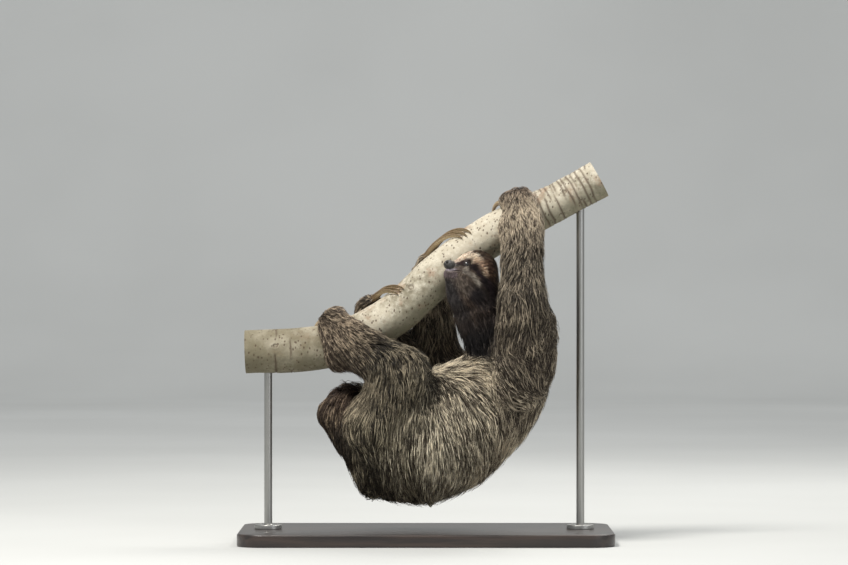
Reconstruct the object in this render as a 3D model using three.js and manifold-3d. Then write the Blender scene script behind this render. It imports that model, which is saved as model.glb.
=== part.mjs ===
// Life-size brown-throated three-toed sloth, hanging under a cut length of branch that two rods
// hold above a flat base. Millimetres, +Z up. The origin is the middle of the base's underside, +X
// runs to the upper end of the branch, and the animal's left side faces -Y. The solids are the
// animal's outline with its coat on: the coat's outer face, parted where a person names the parts.

import * as THREE from "three";
import { mergeVertices } from "three/addons/utils/BufferGeometryUtils.js";
import Module from "manifold-3d";

const wasm = await Module();
wasm.setup();

// ---------------------------------------------------------------- driving dimensions (mm)

const HUMERUS = 152;
const FOREARM = 152;
const FEMUR = 106;
const TIBIA = 118;
const HAND_CLAW = 102;
const FOOT_CLAW = 76;
const SHOULDER_HALF_WIDTH = 70;
const HIP_HALF_WIDTH = 60;
const EYE_RADIUS = 6.2;

const BASE_SIZE = { length: 650, depth: 350, height: 22, corner: 45, bevel: 3 };
const ROD_RADIUS = 7;
const ROD_SOCKET_DEPTH = 24;
const FLANGE = { radius: 24, height: 7 };

const GAP = 0.5; // between pieces that touch
const TRIM_GROWTH = 0.65; // how far a piece is swollen to cut room for itself in its neighbours
const WELD = 0.3; // edges shorter than this are closed up
const BODY_CELL = 26; // facet size of the trunk and limbs
const GRASP_CELL = 17; // of the hands and feet
const HEAD_CELL = 11;
const CUT_REACH = 1200; // half the width of a cutting block, past the whole animal

// ---------------------------------------------------------------- small vector helpers

const v = (x, y, z) => new THREE.Vector3(x, y, z);
const towards = (from, to) => to.clone().sub(from).normalize();
const between = (a, b, t) => a.clone().lerp(b, t);
const Y_AXIS = v(0, 1, 0);

// The middle joint of a two-bone limb that reaches from root to end, bowed to one side.
function bend(root, end, upper, lower, bow) {
  const axis = towards(root, end);
  const reach = Math.min(root.distanceTo(end), upper + lower - 1);
  const along = (upper ** 2 - lower ** 2 + reach ** 2) / (2 * reach);
  const out = Math.sqrt(Math.max(0, upper ** 2 - along ** 2));
  const side = bow.clone().addScaledVector(axis, -bow.dot(axis)).normalize();
  return root.clone().addScaledVector(axis, along).addScaledVector(side, out);
}

// ---------------------------------------------------------------- the branch

// Centre line in the plane Y = 0, from its lower cut end to its upper one, with the radius there.
const BRANCH_LINE = [
  [-316, 332, 38],
  [-220, 335, 38.5],
  [-150, 347, 38],
  [-98, 371, 37],
  [-45, 405, 37],
  [24, 468, 37],
  [94, 522, 36.5],
  [164, 562, 35],
  [234, 596, 33],
  [303, 634, 34],
];
const branchCurve = new THREE.CatmullRomCurve3(BRANCH_LINE.map(([x, z]) => v(x, 0, z)));
const BRANCH_SIDES = 12;
const BRANCH_RINGS = 14;
const SEARCH_STEPS = 30; // halvings that find a place along the curve

function branchRadius(x) {
  const next = Math.max(1, BRANCH_LINE.findIndex(([end]) => end > x));
  const [x0, , r0] = BRANCH_LINE[next - 1];
  const [x1, , r1] = BRANCH_LINE[next];
  return THREE.MathUtils.lerp(r0, r1, THREE.MathUtils.clamp((x - x0) / (x1 - x0), 0, 1));
}

// Where the branch's centre line stands at a given X: its centre, its run and its upward normal.
function branchAt(x) {
  let low = 0;
  let high = 1;
  for (let i = 0; i < SEARCH_STEPS; i++) {
    const middle = (low + high) / 2;
    if (branchCurve.getPointAt(middle).x < x) low = middle;
    else high = middle;
  }
  const run = branchCurve.getTangentAt(low);
  return { centre: branchCurve.getPointAt(low), run, up: v(-run.z, 0, run.x), radius: branchRadius(x) };
}

// A point beside the branch: angle 0 is straight above it and 90 degrees is on the side of `side`,
// which is -1 for the animal's left and 1 for its right. `out` is the height over the bark.
function aroundBranch(x, degrees, side, out) {
  const { centre, up, radius } = branchAt(x);
  const angle = THREE.MathUtils.degToRad(degrees);
  return centre
    .clone()
    .addScaledVector(up, Math.cos(angle) * (radius + out))
    .addScaledVector(Y_AXIS, side * Math.sin(angle) * (radius + out));
}

// ---------------------------------------------------------------- solids from closed meshes

function solidOf(geometry) {
  const bare = geometry.clone();
  bare.deleteAttribute("normal");
  bare.deleteAttribute("uv");
  const merged = mergeVertices(bare, 1e-4);
  return new wasm.Manifold(
    new wasm.Mesh({
      numProp: 3,
      vertProperties: new Float32Array(merged.attributes.position.array),
      triVerts: new Uint32Array(merged.index.array),
    }),
  );
}

// Draws together the ends of each edge shorter than WELD, where that leaves the surface closed.
function collapseShortEdges(points, triangles) {
  const around = points.map(() => new Set());
  triangles.forEach((corners, t) => corners.forEach((corner) => around[corner].add(t)));
  const nextTo = (i) => {
    const corners = [...around[i]].flatMap((t) => triangles[t]);
    return new Set(corners.filter((corner) => corner !== i));
  };
  const shortEdgeFrom = (a) =>
    [...nextTo(a)].find((b) => {
      if (points[a].distanceTo(points[b]) >= WELD) return false;
      const nextToB = nextTo(b);
      return [...nextTo(a)].filter((c) => nextToB.has(c)).length === 2;
    });
  const draw = (b, a) => {
    for (const t of [...around[b]]) {
      const flat = triangles[t].includes(a);
      for (const corner of triangles[t]) if (flat || corner === b) around[corner].delete(t);
      triangles[t] = flat ? null : triangles[t].map((corner) => (corner === b ? a : corner));
      if (!flat) around[a].add(t);
    }
  };
  for (let a = 0; a < points.length; a++)
    for (let b = shortEdgeFrom(a); b !== undefined; b = shortEdgeFrom(a)) draw(b, a);
  return triangles.filter((corners) => corners);
}

// A solid's surface as three.js geometry.
function geometryOf(solid) {
  const mesh = solid.getMesh();
  const points = [];
  for (let i = 0; i < mesh.numVert; i++)
    points.push(v(...mesh.vertProperties.subarray(i * mesh.numProp, i * mesh.numProp + 3)));
  const corners = Array.from(mesh.triVerts);
  const triangles = corners.flatMap((_, i) => (i % 3 ? [] : [corners.slice(i, i + 3)]));
  const kept = collapseShortEdges(points, triangles);
  const numberOf = new Map([...new Set(kept.flat())].map((corner, number) => [corner, number]));
  const position = [...numberOf.keys()].flatMap((corner) => points[corner].toArray());
  const geometry = new THREE.BufferGeometry();
  geometry.setAttribute("position", new THREE.BufferAttribute(new Float32Array(position), 3));
  geometry.setIndex(kept.flat().map((corner) => numberOf.get(corner)));
  geometry.computeVertexNormals();
  return geometry;
}

// The largest body of a solid, without the slivers that a cut can leave.
function mainBody(solid) {
  return solid.decompose().reduce((best, body) => (body.volume() > best.volume() ? body : best));
}

// Cuts a solid at a plane, and returns what lies behind and ahead of it with a thin gap between.
function split(solid, point, normal) {
  const turn = new THREE.Quaternion().setFromUnitVectors(v(0, 0, 1), normal);
  const half = (sign) => {
    const box = new THREE.BoxGeometry(2 * CUT_REACH, 2 * CUT_REACH, CUT_REACH);
    box.translate(0, 0, sign * (CUT_REACH / 2 - GAP / 2));
    box.applyQuaternion(turn);
    box.translate(point.x, point.y, point.z);
    return solidOf(box);
  };
  return [solid.subtract(half(1)), solid.subtract(half(-1))];
}

// A closed tube through points, with a radius across the bend and one along it at each point.
function sweep(points, across, along, sides) {
  const position = [];
  const index = [];
  const last = points.length - 1;
  let side = null;
  points.forEach((point, i) => {
    const run = towards(points[Math.max(0, i - 1)], points[Math.min(last, i + 1)]);
    side = side ?? v(0, 1, 0).cross(run);
    side.addScaledVector(run, -side.dot(run)).normalize();
    const other = run.clone().cross(side);
    for (let k = 0; k < sides; k++) {
      const angle = (2 * Math.PI * k) / sides;
      const offset = side.clone().multiplyScalar(Math.cos(angle) * along[i]);
      offset.addScaledVector(other, Math.sin(angle) * across[i]);
      position.push(...point.clone().add(offset).toArray());
    }
  });
  for (let i = 0; i < last; i++)
    for (let k = 0; k < sides; k++) {
      const a = i * sides + k;
      const b = i * sides + ((k + 1) % sides);
      index.push(a, b, a + sides, b, b + sides, a + sides);
    }
  position.push(...points[0].toArray(), ...points[last].toArray());
  const ends = points.length * sides;
  for (let k = 0; k < sides; k++) {
    const next = (k + 1) % sides;
    index.push(ends, next, k);
    index.push(ends + 1, last * sides + k, last * sides + next);
  }
  const geometry = new THREE.BufferGeometry();
  geometry.setAttribute("position", new THREE.BufferAttribute(new Float32Array(position), 3));
  geometry.setIndex(index);
  return geometry;
}

// ---------------------------------------------------------------- rounded bodies as distance fields

// Distance to a cone with round ends from a to b, whose girth in Y is `wide` times its depth.
function cone(a, b, ra, rb, wide = 1) {
  const run = b.clone().sub(a);
  run.y /= wide;
  const length2 = Math.max(run.lengthSq(), 1e-6);
  const q = v(0, 0, 0);
  return (p) => {
    q.copy(p).sub(a);
    q.y /= wide;
    const t = THREE.MathUtils.clamp(q.dot(run) / length2, 0, 1);
    return q.addScaledVector(run, -t).length() - THREE.MathUtils.lerp(ra, rb, t);
  };
}

// Distance, near enough, to an ellipsoid in a local frame.
function ellipsoid(frame, centre, radii) {
  const q = v(0, 0, 0);
  const smallest = Math.min(radii.x, radii.y, radii.z);
  return (p) => {
    q.copy(p).applyMatrix4(frame).sub(centre).divide(radii);
    return (q.length() - 1) * smallest;
  };
}

const smoothMin = (a, b, k) => {
  const h = Math.max(k - Math.abs(a - b), 0) / k;
  return Math.min(a, b) - (h * h * k) / 4;
};

// One field for several that melt into each other over about k millimetres.
const FAR_AWAY = 1e4;
const melt = (k, fields) => (p) => fields.reduce((d, field) => smoothMin(d, field(p), k), FAR_AWAY);

// Surface nets: one vertex in each cell that the surface crosses, drawn onto the surface.
function surface(field, low, high, cell) {
  const n = high.clone().sub(low).divideScalar(cell).ceil().addScalar(1).toArray();
  const at = (i, j, k) => (k * n[1] + j) * n[0] + i;
  const values = new Float32Array(n[0] * n[1] * n[2]);
  const p = v(0, 0, 0);
  const place = (i, j, k) => p.set(low.x + i * cell, low.y + j * cell, low.z + k * cell);
  for (let k = 0; k < n[2]; k++)
    for (let j = 0; j < n[1]; j++)
      for (let i = 0; i < n[0]; i++) {
        const rim = [i, j, k].some((c, axis) => c === 0 || c === n[axis] - 1);
        values[at(i, j, k)] = rim ? cell : field(place(i, j, k));
      }

  const vertexOf = new Map();
  const position = [];
  const corners = [0, 1, 2, 3, 4, 5, 6, 7].map((c) => [c & 1, (c >> 1) & 1, c >> 2]);
  const edges = [];
  corners.forEach((a, i) =>
    corners.forEach((b, j) => {
      if (j > i && Math.abs(a[0] - b[0]) + Math.abs(a[1] - b[1]) + Math.abs(a[2] - b[2]) === 1)
        edges.push([a, b]);
    }),
  );
  for (let k = 0; k < n[2] - 1; k++)
    for (let j = 0; j < n[1] - 1; j++)
      for (let i = 0; i < n[0] - 1; i++) {
        const sum = v(0, 0, 0);
        let crossings = 0;
        for (const [a, b] of edges) {
          const da = values[at(i + a[0], j + a[1], k + a[2])];
          const db = values[at(i + b[0], j + b[1], k + b[2])];
          if (da < 0 === db < 0) continue;
          const t = da / (da - db);
          sum.add(v(...a).lerp(v(...b), t));
          crossings++;
        }
        if (!crossings) continue;
        const point = sum.divideScalar(crossings).add(v(i, j, k)).multiplyScalar(cell).add(low);
        onto(field, point, cell);
        vertexOf.set(at(i, j, k), position.length / 3);
        position.push(point.x, point.y, point.z);
      }

  const index = [];
  const steps = [at(1, 0, 0), at(0, 1, 0), at(0, 0, 1)];
  for (let k = 0; k < n[2] - 1; k++)
    for (let j = 0; j < n[1] - 1; j++)
      for (let i = 0; i < n[0] - 1; i++)
        for (let axis = 0; axis < 3; axis++) {
          const here = at(i, j, k);
          const inside = values[here] < 0;
          if (inside === values[here + steps[axis]] < 0) continue;
          const u = steps[(axis + 1) % 3];
          const w = steps[(axis + 2) % 3];
          const quad = [here - u - w, here - w, here, here - u].map((c) => vertexOf.get(c));
          if (!inside) quad.reverse();
          pushQuad(index, position, quad);
        }
  const geometry = new THREE.BufferGeometry();
  geometry.setAttribute("position", new THREE.BufferAttribute(new Float32Array(position), 3));
  geometry.setIndex(index);
  return geometry;
}

const SLOPE_STEP = 0.5;
const DRAWS = 3;
const LEAST_SLOPE = 0.2; // keeps a step short where the field is nearly flat

// Draws a point onto a field's surface, by no more than a third of a cell.
function onto(field, point, cell) {
  const start = point.clone();
  for (let i = 0; i < DRAWS; i++) {
    const d = field(point.clone());
    const slope = v(
      field(point.clone().add(v(SLOPE_STEP, 0, 0))) - d,
      field(point.clone().add(v(0, SLOPE_STEP, 0))) - d,
      field(point.clone().add(v(0, 0, SLOPE_STEP))) - d,
    ).divideScalar(SLOPE_STEP);
    point.addScaledVector(slope, -d / Math.max(slope.lengthSq(), LEAST_SLOPE));
  }
  const moved = point.clone().sub(start);
  if (moved.length() > cell / 3) point.copy(start).addScaledVector(moved.normalize(), cell / 3);
}

// Two triangles for a quad, across its shorter diagonal.
function pushQuad(index, position, [a, b, c, d]) {
  const far = (i, j) =>
    Math.hypot(...[0, 1, 2].map((axis) => position[3 * i + axis] - position[3 * j + axis]));
  if (far(a, c) < far(b, d)) index.push(a, b, c, a, c, d);
  else index.push(a, b, d, b, c, d);
}

// ---------------------------------------------------------------- the skeleton in its pose

const LEFT = -1;
const RIGHT = 1;

const shoulder = (side) => v(162, side * SHOULDER_HALF_WIDTH, side === LEFT ? 272 : 250);
const hip = (side) => v(-84, side * HIP_HALF_WIDTH, 206);

// Each hand and foot grips the branch from its own side. Its wrist or ankle, palm, knuckles and
// claw tips lie beside these X places of the branch's centre line. `top` is how far the knuckles
// still are from the highest line of the bark, in degrees, and `girth` is a digit's radius.
const GRIPS = {
  hand_left: { side: LEFT, root: 160, palm: 176, knuckle: 172, tip: 140, top: 20, spread: 15, girth: 14 },
  hand_right: { side: RIGHT, root: 7, palm: 21, knuckle: 26, tip: 84, top: 28, spread: 7, girth: 9 },
  foot_left: { side: LEFT, root: -134, palm: -150, knuckle: -144, tip: -184, top: 8, spread: 12, girth: 14 },
  foot_right: { side: RIGHT, root: -90, palm: -83, knuckle: -70, tip: -28, top: 14, spread: 5.4, girth: 8 },
};

// ---------------------------------------------------------------- trunk, neck and tail

// Sections down the middle of the animal, from tail to skull: x, y, z, depth radius, half width.
const SECTIONS = {
  tail_tip: [-184, 0, 224, 16, 16],
  tail_root: [-148, 0, 222, 27, 34],
  rump: [-122, 0, 204, 46, 66],
  pelvis: [-76, 0, 180, 72, 92],
  belly: [-10, 0, 186, 102, 106],
  waist: [40, 0, 198, 103, 104],
  chest: [103, 0, 240, 86, 96],
  withers: [142, -2, 280, 68, 84],
  nape: [152, -8, 322, 49, 58],
  throat: [108, -28, 384, 48, 48],
  skull_base: [81, -46, 438, 46, 45],
};
const centreOf = (name) => v(...SECTIONS[name].slice(0, 3));

function link(from, to) {
  const [, , , ra, wa] = SECTIONS[from];
  const [, , , rb, wb] = SECTIONS[to];
  return cone(centreOf(from), centreOf(to), ra, rb, (wa / ra + wb / rb) / 2);
}

// The long hair of the back hangs below the rump and belly.
const hangingHair = cone(v(-84, 0, 114), v(4, 0, 112), 40, 41, 1.5);

// The haunch stands up between the tail and the thighs.
const haunch = cone(v(-134, 6, 252), v(-100, 10, 236), 32, 40, 1.15);

// How softly rounded bodies run into each other.
const MELT = { trunk: 26, neckToHead: 14, head: 9, limb: 16, grip: 14 };

// ---------------------------------------------------------------- head

const HEAD_CENTRE = v(78, -54, 467);
const HEAD_YAW = THREE.MathUtils.degToRad(24);
const HEAD_PITCH = THREE.MathUtils.degToRad(22);

// The head's own frame: x runs out through the nose, y to its left and z to its crown.
const facing = v(
  -Math.cos(HEAD_YAW) * Math.cos(HEAD_PITCH),
  -Math.sin(HEAD_YAW) * Math.cos(HEAD_PITCH),
  Math.sin(HEAD_PITCH),
);
const leftward = v(Math.sin(HEAD_YAW), -Math.cos(HEAD_YAW), 0);
const headFrame = new THREE.Matrix4()
  .makeBasis(facing, leftward, facing.clone().cross(leftward))
  .setPosition(HEAD_CENTRE);
const intoHead = headFrame.clone().invert();
const inHead = (x, y, z) => v(x, y, z).applyMatrix4(headFrame);

const EYE = v(21, 17.2, 10);
const NOSE = { centre: v(45, 0, 0), radii: v(8.5, 12.5, 8.5) };

function headParts() {
  const bulb = (centre, radii) => ellipsoid(intoHead, centre, radii);
  const bar = (a, b, ra, rb) => cone(inHead(...a), inHead(...b), ra, rb);
  return [
    bulb(v(-8, 0, 8), v(37, 41, 38)),
    bulb(v(4, 17, -12), v(28, 24, 23)),
    bulb(v(4, -17, -12), v(28, 24, 23)),
    bar([12, 0, -3], [41, 0, -1], 26, 12),
    bar([0, 0, -26], [38, 0, -18], 19, 10),
  ];
}

const headField = melt(MELT.head, headParts());
const trunkField = melt(MELT.trunk, [
  link("tail_tip", "tail_root"),
  link("tail_root", "rump"),
  link("rump", "pelvis"),
  link("pelvis", "belly"),
  link("belly", "waist"),
  link("waist", "chest"),
  link("chest", "withers"),
  link("withers", "nape"),
  link("nape", "throat"),
  link("throat", "skull_base"),
  hangingHair,
  haunch,
]);
const wholeField = (p) => smoothMin(trunkField(p), headField(p), MELT.neckToHead);

// ---------------------------------------------------------------- limbs

// Radii out to the tips of the coat.
const ARM_COAT = { root: 48, middle: 42, end: 38, wrist: 35, sole: 27 };
const LEG_COAT = { root: 58, middle: 45, end: 40, wrist: 33, sole: 26, heel: 23 };
const DIGIT_FLARE = 5; // how much thicker a digit is at its root
const MANE = { back: v(15, 6, 0), from: 0.3, to: 0.7, radius: 50 };

// Heights of the bones' ends over the bark, and how far round the branch they lie.
const OVER_BARK = { wrist: 20, ankle: 14, sole: 13, heel: 10 };
const DIGIT_SUNK = 4; // how far a digit's round section is pressed flat on the bark
const ROUND_BRANCH = { leftWrist: 104, rightWrist: 92, ankle: 95, heel: 122, soleBelowKnuckle: 42 };
const HEEL_BEHIND_SOLE = 10;

// A limb's joints from its root to where its digits' claws begin, on one side of the animal.
function armJoints(side) {
  const grip = GRIPS[side === LEFT ? "hand_left" : "hand_right"];
  const root = shoulder(side);
  const { leftWrist, rightWrist } = ROUND_BRANCH;
  const wrist = aroundBranch(grip.root, side === LEFT ? leftWrist : rightWrist, side, OVER_BARK.wrist);
  const bow = side === LEFT ? v(0, -1, 0) : v(-1.25, 0.35, -1.2);
  return { grip, root, middle: bend(root, wrist, HUMERUS, FOREARM, bow), end: wrist };
}

function legJoints(side) {
  const grip = GRIPS[side === LEFT ? "foot_left" : "foot_right"];
  const root = hip(side);
  const ankle = aroundBranch(grip.root, ROUND_BRANCH.ankle, side, OVER_BARK.ankle);
  const bow = side === LEFT ? v(0.9, -0.4, 0.1) : v(0.8, 0.35, 0.3);
  return { grip, root, middle: bend(root, ankle, FEMUR, TIBIA, bow), end: ankle };
}

// The palm or sole lies against the bark, and three digits run up over it side by side. Only a
// foot has a heel.
function gripField({ grip, end }, coat) {
  const { side, palm, knuckle, top, spread, girth } = grip;
  const sole = aroundBranch(palm, top + ROUND_BRANCH.soleBelowKnuckle, side, OVER_BARK.sole);
  const fields = [cone(end, sole, coat.wrist, coat.sole)];
  if (coat.heel) {
    const heel = aroundBranch(palm - HEEL_BEHIND_SOLE, ROUND_BRANCH.heel, side, OVER_BARK.heel);
    fields.push(cone(sole, heel, coat.sole, coat.heel));
  }
  for (const place of [-1, 0, 1]) {
    const digit = aroundBranch(knuckle + place * spread, top, side, girth - DIGIT_SUNK);
    fields.push(cone(sole, digit, girth + DIGIT_FLARE, girth));
  }
  return melt(MELT.grip, fields);
}

// The long hair that stands off the back of the left upper arm is its mane.
function limbField({ root, middle, end, grip }, coat) {
  const fields = [
    cone(root, middle, coat.root, coat.middle),
    cone(middle, end, coat.middle, coat.end),
    gripField({ grip, end }, coat),
  ];
  if (grip === GRIPS.hand_left) {
    const mane = (t) => between(root, middle, t).add(MANE.back);
    fields.push(cone(mane(MANE.from), mane(MANE.to), MANE.radius, MANE.radius));
  }
  return melt(MELT.limb, fields);
}

// ---------------------------------------------------------------- claws

const CLAW_POINTS = 7;
const CLAW_SIDES = 5;
const CLAW_RADIUS = { across: 3.2, along: 4.6 };
const CLAW_TAPER = { power: 2.2, loss: 0.95 };
const CLAW_START = 4; // degrees round the branch from the knuckle
const CLAW_LIFT = { base: 6.5, arch: 6, settle: 4 }; // height over the bark, its rise and its fall
const CLAW_HEIGHT = 8; // the arc that a claw's length is measured on

// One claw's centre line: from under the digit's skin, over the branch and down its other side.
function clawLine({ side, knuckle, tip, top, spread }, length, place) {
  const start = knuckle + place * spread;
  const run = (tip - knuckle) / branchAt(start).run.x;
  const round = Math.sqrt(length ** 2 - run ** 2);
  const points = [];
  for (let i = 0; i < CLAW_POINTS; i++) {
    const t = i / (CLAW_POINTS - 1);
    const at = start + (tip - knuckle) * Math.sin((t * Math.PI) / 2);
    const swing = THREE.MathUtils.radToDeg(round / (branchRadius(at) + CLAW_HEIGHT));
    const arch = CLAW_LIFT.arch * Math.sin(Math.PI * t) * (1 - t);
    const lift = CLAW_LIFT.base + arch - CLAW_LIFT.settle * t;
    points.push(aroundBranch(at, top + CLAW_START - t * swing, side, lift));
  }
  return points;
}

// The least distance between two neighbouring claws' centre lines, past their roots.
function clawSpacing(line, next) {
  const nearest = v(0, 0, 0);
  const spacings = line.slice(1).flatMap((point) =>
    next.slice(1).map((end, i) => {
      new THREE.Line3(next[i], end).closestPointToPoint(point, true, nearest);
      return nearest.distanceTo(point);
    }),
  );
  return Math.min(...spacings);
}

// Claws that cross the branch on a slant lie closer together, and are as narrow as that needs.
function clawSolid(points, spacing) {
  const { power, loss } = CLAW_TAPER;
  const taper = points.map((_, i) => Math.sqrt(1 - loss * (i / (CLAW_POINTS - 1)) ** power));
  const widest = Math.min(CLAW_RADIUS.across, (spacing - GAP) / 2);
  const across = taper.map((t) => widest * t);
  const along = taper.map((t) => CLAW_RADIUS.along * t);
  return solidOf(sweep(points, across, along, CLAW_SIDES));
}

// ---------------------------------------------------------------- build the solids

const nodes = new Map();
const keep = (name, solid) => nodes.set(name, mainBody(solid));

// A field's solid, and the slightly larger room that its neighbours are cut by.
function meshField(field, low, high, cell) {
  const geometry = surface(field, low, high, cell);
  const swollen = geometry.clone();
  swollen.computeVertexNormals();
  const { position, normal } = swollen.attributes;
  for (let i = 0; i < position.count; i++) {
    const point = v(0, 0, 0).fromBufferAttribute(position, i);
    point.addScaledVector(v(0, 0, 0).fromBufferAttribute(normal, i), TRIM_GROWTH);
    position.setXYZ(i, ...point.toArray());
  }
  return { solid: solidOf(geometry), room: solidOf(swollen) };
}

// Room round a set of points, out to the coat's edge.
function roomFor(points, margin) {
  const box = new THREE.Box3().setFromPoints(points).expandByScalar(margin);
  return [box.min, box.max];
}

function buildBranch(grow = 0) {
  const points = [];
  const radii = [];
  for (let i = 0; i <= BRANCH_RINGS; i++) {
    const point = branchCurve.getPointAt(i / BRANCH_RINGS);
    points.push(point);
    radii.push(branchRadius(point.x) / Math.cos(Math.PI / BRANCH_SIDES) ** 0.5 + grow);
  }
  return solidOf(sweep(points, radii, radii, BRANCH_SIDES));
}

const branchRoom = buildBranch(GAP);

// Trunk, neck and head come from one field; the head is meshed more finely.
const TRUNK_MARGIN = 130;
const HEAD_MARGIN = 78;
const LIMB_MARGIN = 80;
const trunkPoints = Object.keys(SECTIONS).map(centreOf);
const [trunkLow, trunkHigh] = roomFor(trunkPoints, TRUNK_MARGIN);
const whole = meshField(wholeField, trunkLow, trunkHigh, BODY_CELL);

// Where the trunk's pieces part: each plane's place and the way to what lies ahead of it.
const NECK_CUT = {
  point: between(centreOf("throat"), centreOf("skull_base"), 0.62),
  normal: v(-0.3, 0, 0.95).normalize(),
};
const TRUNK_CUTS = [
  ["tail", between(centreOf("tail_root"), centreOf("tail_tip"), 0.1), v(1, 0, 0.1)],
  ["pelvis", between(centreOf("pelvis"), centreOf("belly"), 0.45), v(1, 0, 0.12)],
  ["belly", between(centreOf("waist"), centreOf("chest"), 0.4), v(0.85, 0, 0.53)],
  ["chest", between(centreOf("nape"), centreOf("throat"), 0.15), v(-0.45, 0, 0.89)],
];
let rest = split(whole.solid, NECK_CUT.point, NECK_CUT.normal)[0].subtract(branchRoom);
for (const [name, point, normal] of TRUNK_CUTS) {
  const [piece, ahead] = split(rest, point, normal.normalize());
  keep(name, piece);
  rest = ahead;
}
keep("neck", rest);

const eyes = [
  ["eye_left", inHead(EYE.x, EYE.y, EYE.z)],
  ["eye_right", inHead(EYE.x, -EYE.y, EYE.z)],
];
const ball = (centre, radius) =>
  solidOf(new THREE.IcosahedronGeometry(radius, 1).translate(centre.x, centre.y, centre.z));

function buildNose(grow) {
  const { centre, radii } = NOSE;
  const geometry = new THREE.IcosahedronGeometry(1, 1);
  geometry.scale(radii.x + grow, radii.y + grow, radii.z + grow);
  geometry.translate(centre.x, centre.y, centre.z);
  return solidOf(geometry.applyMatrix4(headFrame));
}

const [headLow, headHigh] = roomFor([HEAD_CENTRE], HEAD_MARGIN);
const skull = meshField(wholeField, headLow, headHigh, HEAD_CELL);
let head = split(skull.solid, NECK_CUT.point, NECK_CUT.normal)[1].subtract(branchRoom);
for (const [name, centre] of eyes) {
  head = head.subtract(ball(centre, EYE_RADIUS + GAP));
  keep(name, ball(centre, EYE_RADIUS));
}
head = head.subtract(buildNose(GAP));
keep("head", head);
keep("nose", buildNose(0));

// Each limb is trimmed where it enters what is already there, and parted at its joints.
const ARM = { names: ["upper_arm", "forearm", "hand"], joints: armJoints, coat: ARM_COAT, claw: HAND_CLAW };
const LEG = { names: ["thigh", "shin", "foot"], joints: legJoints, coat: LEG_COAT, claw: FOOT_CLAW };
const WRIST_CUT = 0.86; // of the way down the forearm or shin
const taken = [branchRoom, whole.room, skull.room];
const trim = (solid) => taken.reduce((left, room) => left.subtract(room), solid);

function keepLimb(limb, side) {
  const suffix = side === LEFT ? "left" : "right";
  const [upper, lower, grasp] = limb.names.map((name) => `${name}_${suffix}`);
  const joints = limb.joints(side);
  const { root, middle, end, grip } = joints;
  const field = limbField(joints, limb.coat);
  const top = aroundBranch(grip.knuckle, 0, side, 0);
  const shaft = meshField(field, ...roomFor([root, middle, end, top], LIMB_MARGIN), BODY_CELL);
  const fist = meshField(field, ...roomFor([end, top], LIMB_MARGIN), GRASP_CELL);

  const down = towards(middle, end);
  const wrist = between(middle, end, WRIST_CUT);
  const [above, below] = split(trim(shaft.solid), middle, towards(root, middle).add(down).normalize());
  keep(upper, above);
  keep(lower, split(below, wrist, down)[0]);
  keep(grasp, split(trim(fist.solid), wrist, down)[1]);
  const lines = [-1, 0, 1].map((place) => clawLine(grip, limb.claw, place));
  const spacing = Math.min(clawSpacing(lines[0], lines[1]), clawSpacing(lines[1], lines[2]));
  lines.forEach((line, i) => {
    keep(`claw_${grasp}_${i + 1}`, clawSolid(line, spacing).subtract(fist.room));
  });
  taken.push(shaft.room, fist.room);
}
for (const side of [LEFT, RIGHT]) {
  keepLimb(ARM, side);
  keepLimb(LEG, side);
}

// ---------------------------------------------------------------- the stand

const ROD_X = [-276, 270];
const ROD_SIDES = 12;
const FLANGE_BEVEL = 2;

function rodSolid(x, grow) {
  const { centre, radius } = branchAt(x);
  const top = centre.z - radius + ROD_SOCKET_DEPTH;
  const foot = BASE_SIZE.height + GAP;
  const profile = [
    [0, foot],
    [FLANGE.radius, foot],
    [FLANGE.radius, foot + FLANGE.height - FLANGE_BEVEL],
    [FLANGE.radius - FLANGE_BEVEL, foot + FLANGE.height],
    [ROD_RADIUS + grow, foot + FLANGE.height],
    [ROD_RADIUS + grow, top + grow],
    [0, top + grow],
  ].map(([r, z]) => new THREE.Vector2(r, z));
  const geometry = new THREE.LatheGeometry(profile, ROD_SIDES);
  geometry.rotateX(Math.PI / 2);
  geometry.translate(x, 0, 0);
  return solidOf(geometry);
}

function baseSolid() {
  const { length, depth, height, corner, bevel } = BASE_SIZE;
  const [w, d] = [length / 2 - bevel, depth / 2 - bevel];
  const outline = new THREE.Shape();
  outline.moveTo(-w + corner, -d);
  outline.lineTo(w - corner, -d).absarc(w - corner, -d + corner, corner, -Math.PI / 2, 0);
  outline.lineTo(w, d - corner).absarc(w - corner, d - corner, corner, 0, Math.PI / 2);
  outline.lineTo(-w + corner, d).absarc(-w + corner, d - corner, corner, Math.PI / 2, Math.PI);
  outline.lineTo(-w, -d + corner).absarc(-w + corner, -d + corner, corner, Math.PI, 1.5 * Math.PI);
  const geometry = new THREE.ExtrudeGeometry(outline, {
    depth: height - 2 * bevel,
    bevelThickness: bevel,
    bevelSize: bevel,
    bevelSegments: 1,
    curveSegments: 4,
  });
  geometry.translate(0, 0, bevel);
  return solidOf(geometry);
}

let branch = buildBranch();
ROD_X.forEach((x, i) => {
  keep(`stand_rod_${i === 0 ? "low" : "high"}`, rodSolid(x, 0));
  branch = branch.subtract(rodSolid(x, GAP));
});
keep("branch", branch);
keep("stand_base", baseSolid());

// ---------------------------------------------------------------- the scene graph

const FINISHES = {
  coat: { color: 0x75695a, roughness: 0.95, metalness: 0 },
  head: { color: 0x8d7f6b, roughness: 0.9, metalness: 0 },
  claw: { color: 0xa98a5c, roughness: 0.5, metalness: 0 },
  eye: { color: 0x1c130e, roughness: 0.1, metalness: 0 },
  nose: { color: 0x34302e, roughness: 0.45, metalness: 0 },
  branch: { color: 0xa9a08b, roughness: 0.9, metalness: 0 },
  stand_base: { color: 0x2b2725, roughness: 0.5, metalness: 0 },
  stand_rod: { color: 0x8d8c88, roughness: 0.35, metalness: 1 },
};

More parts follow.
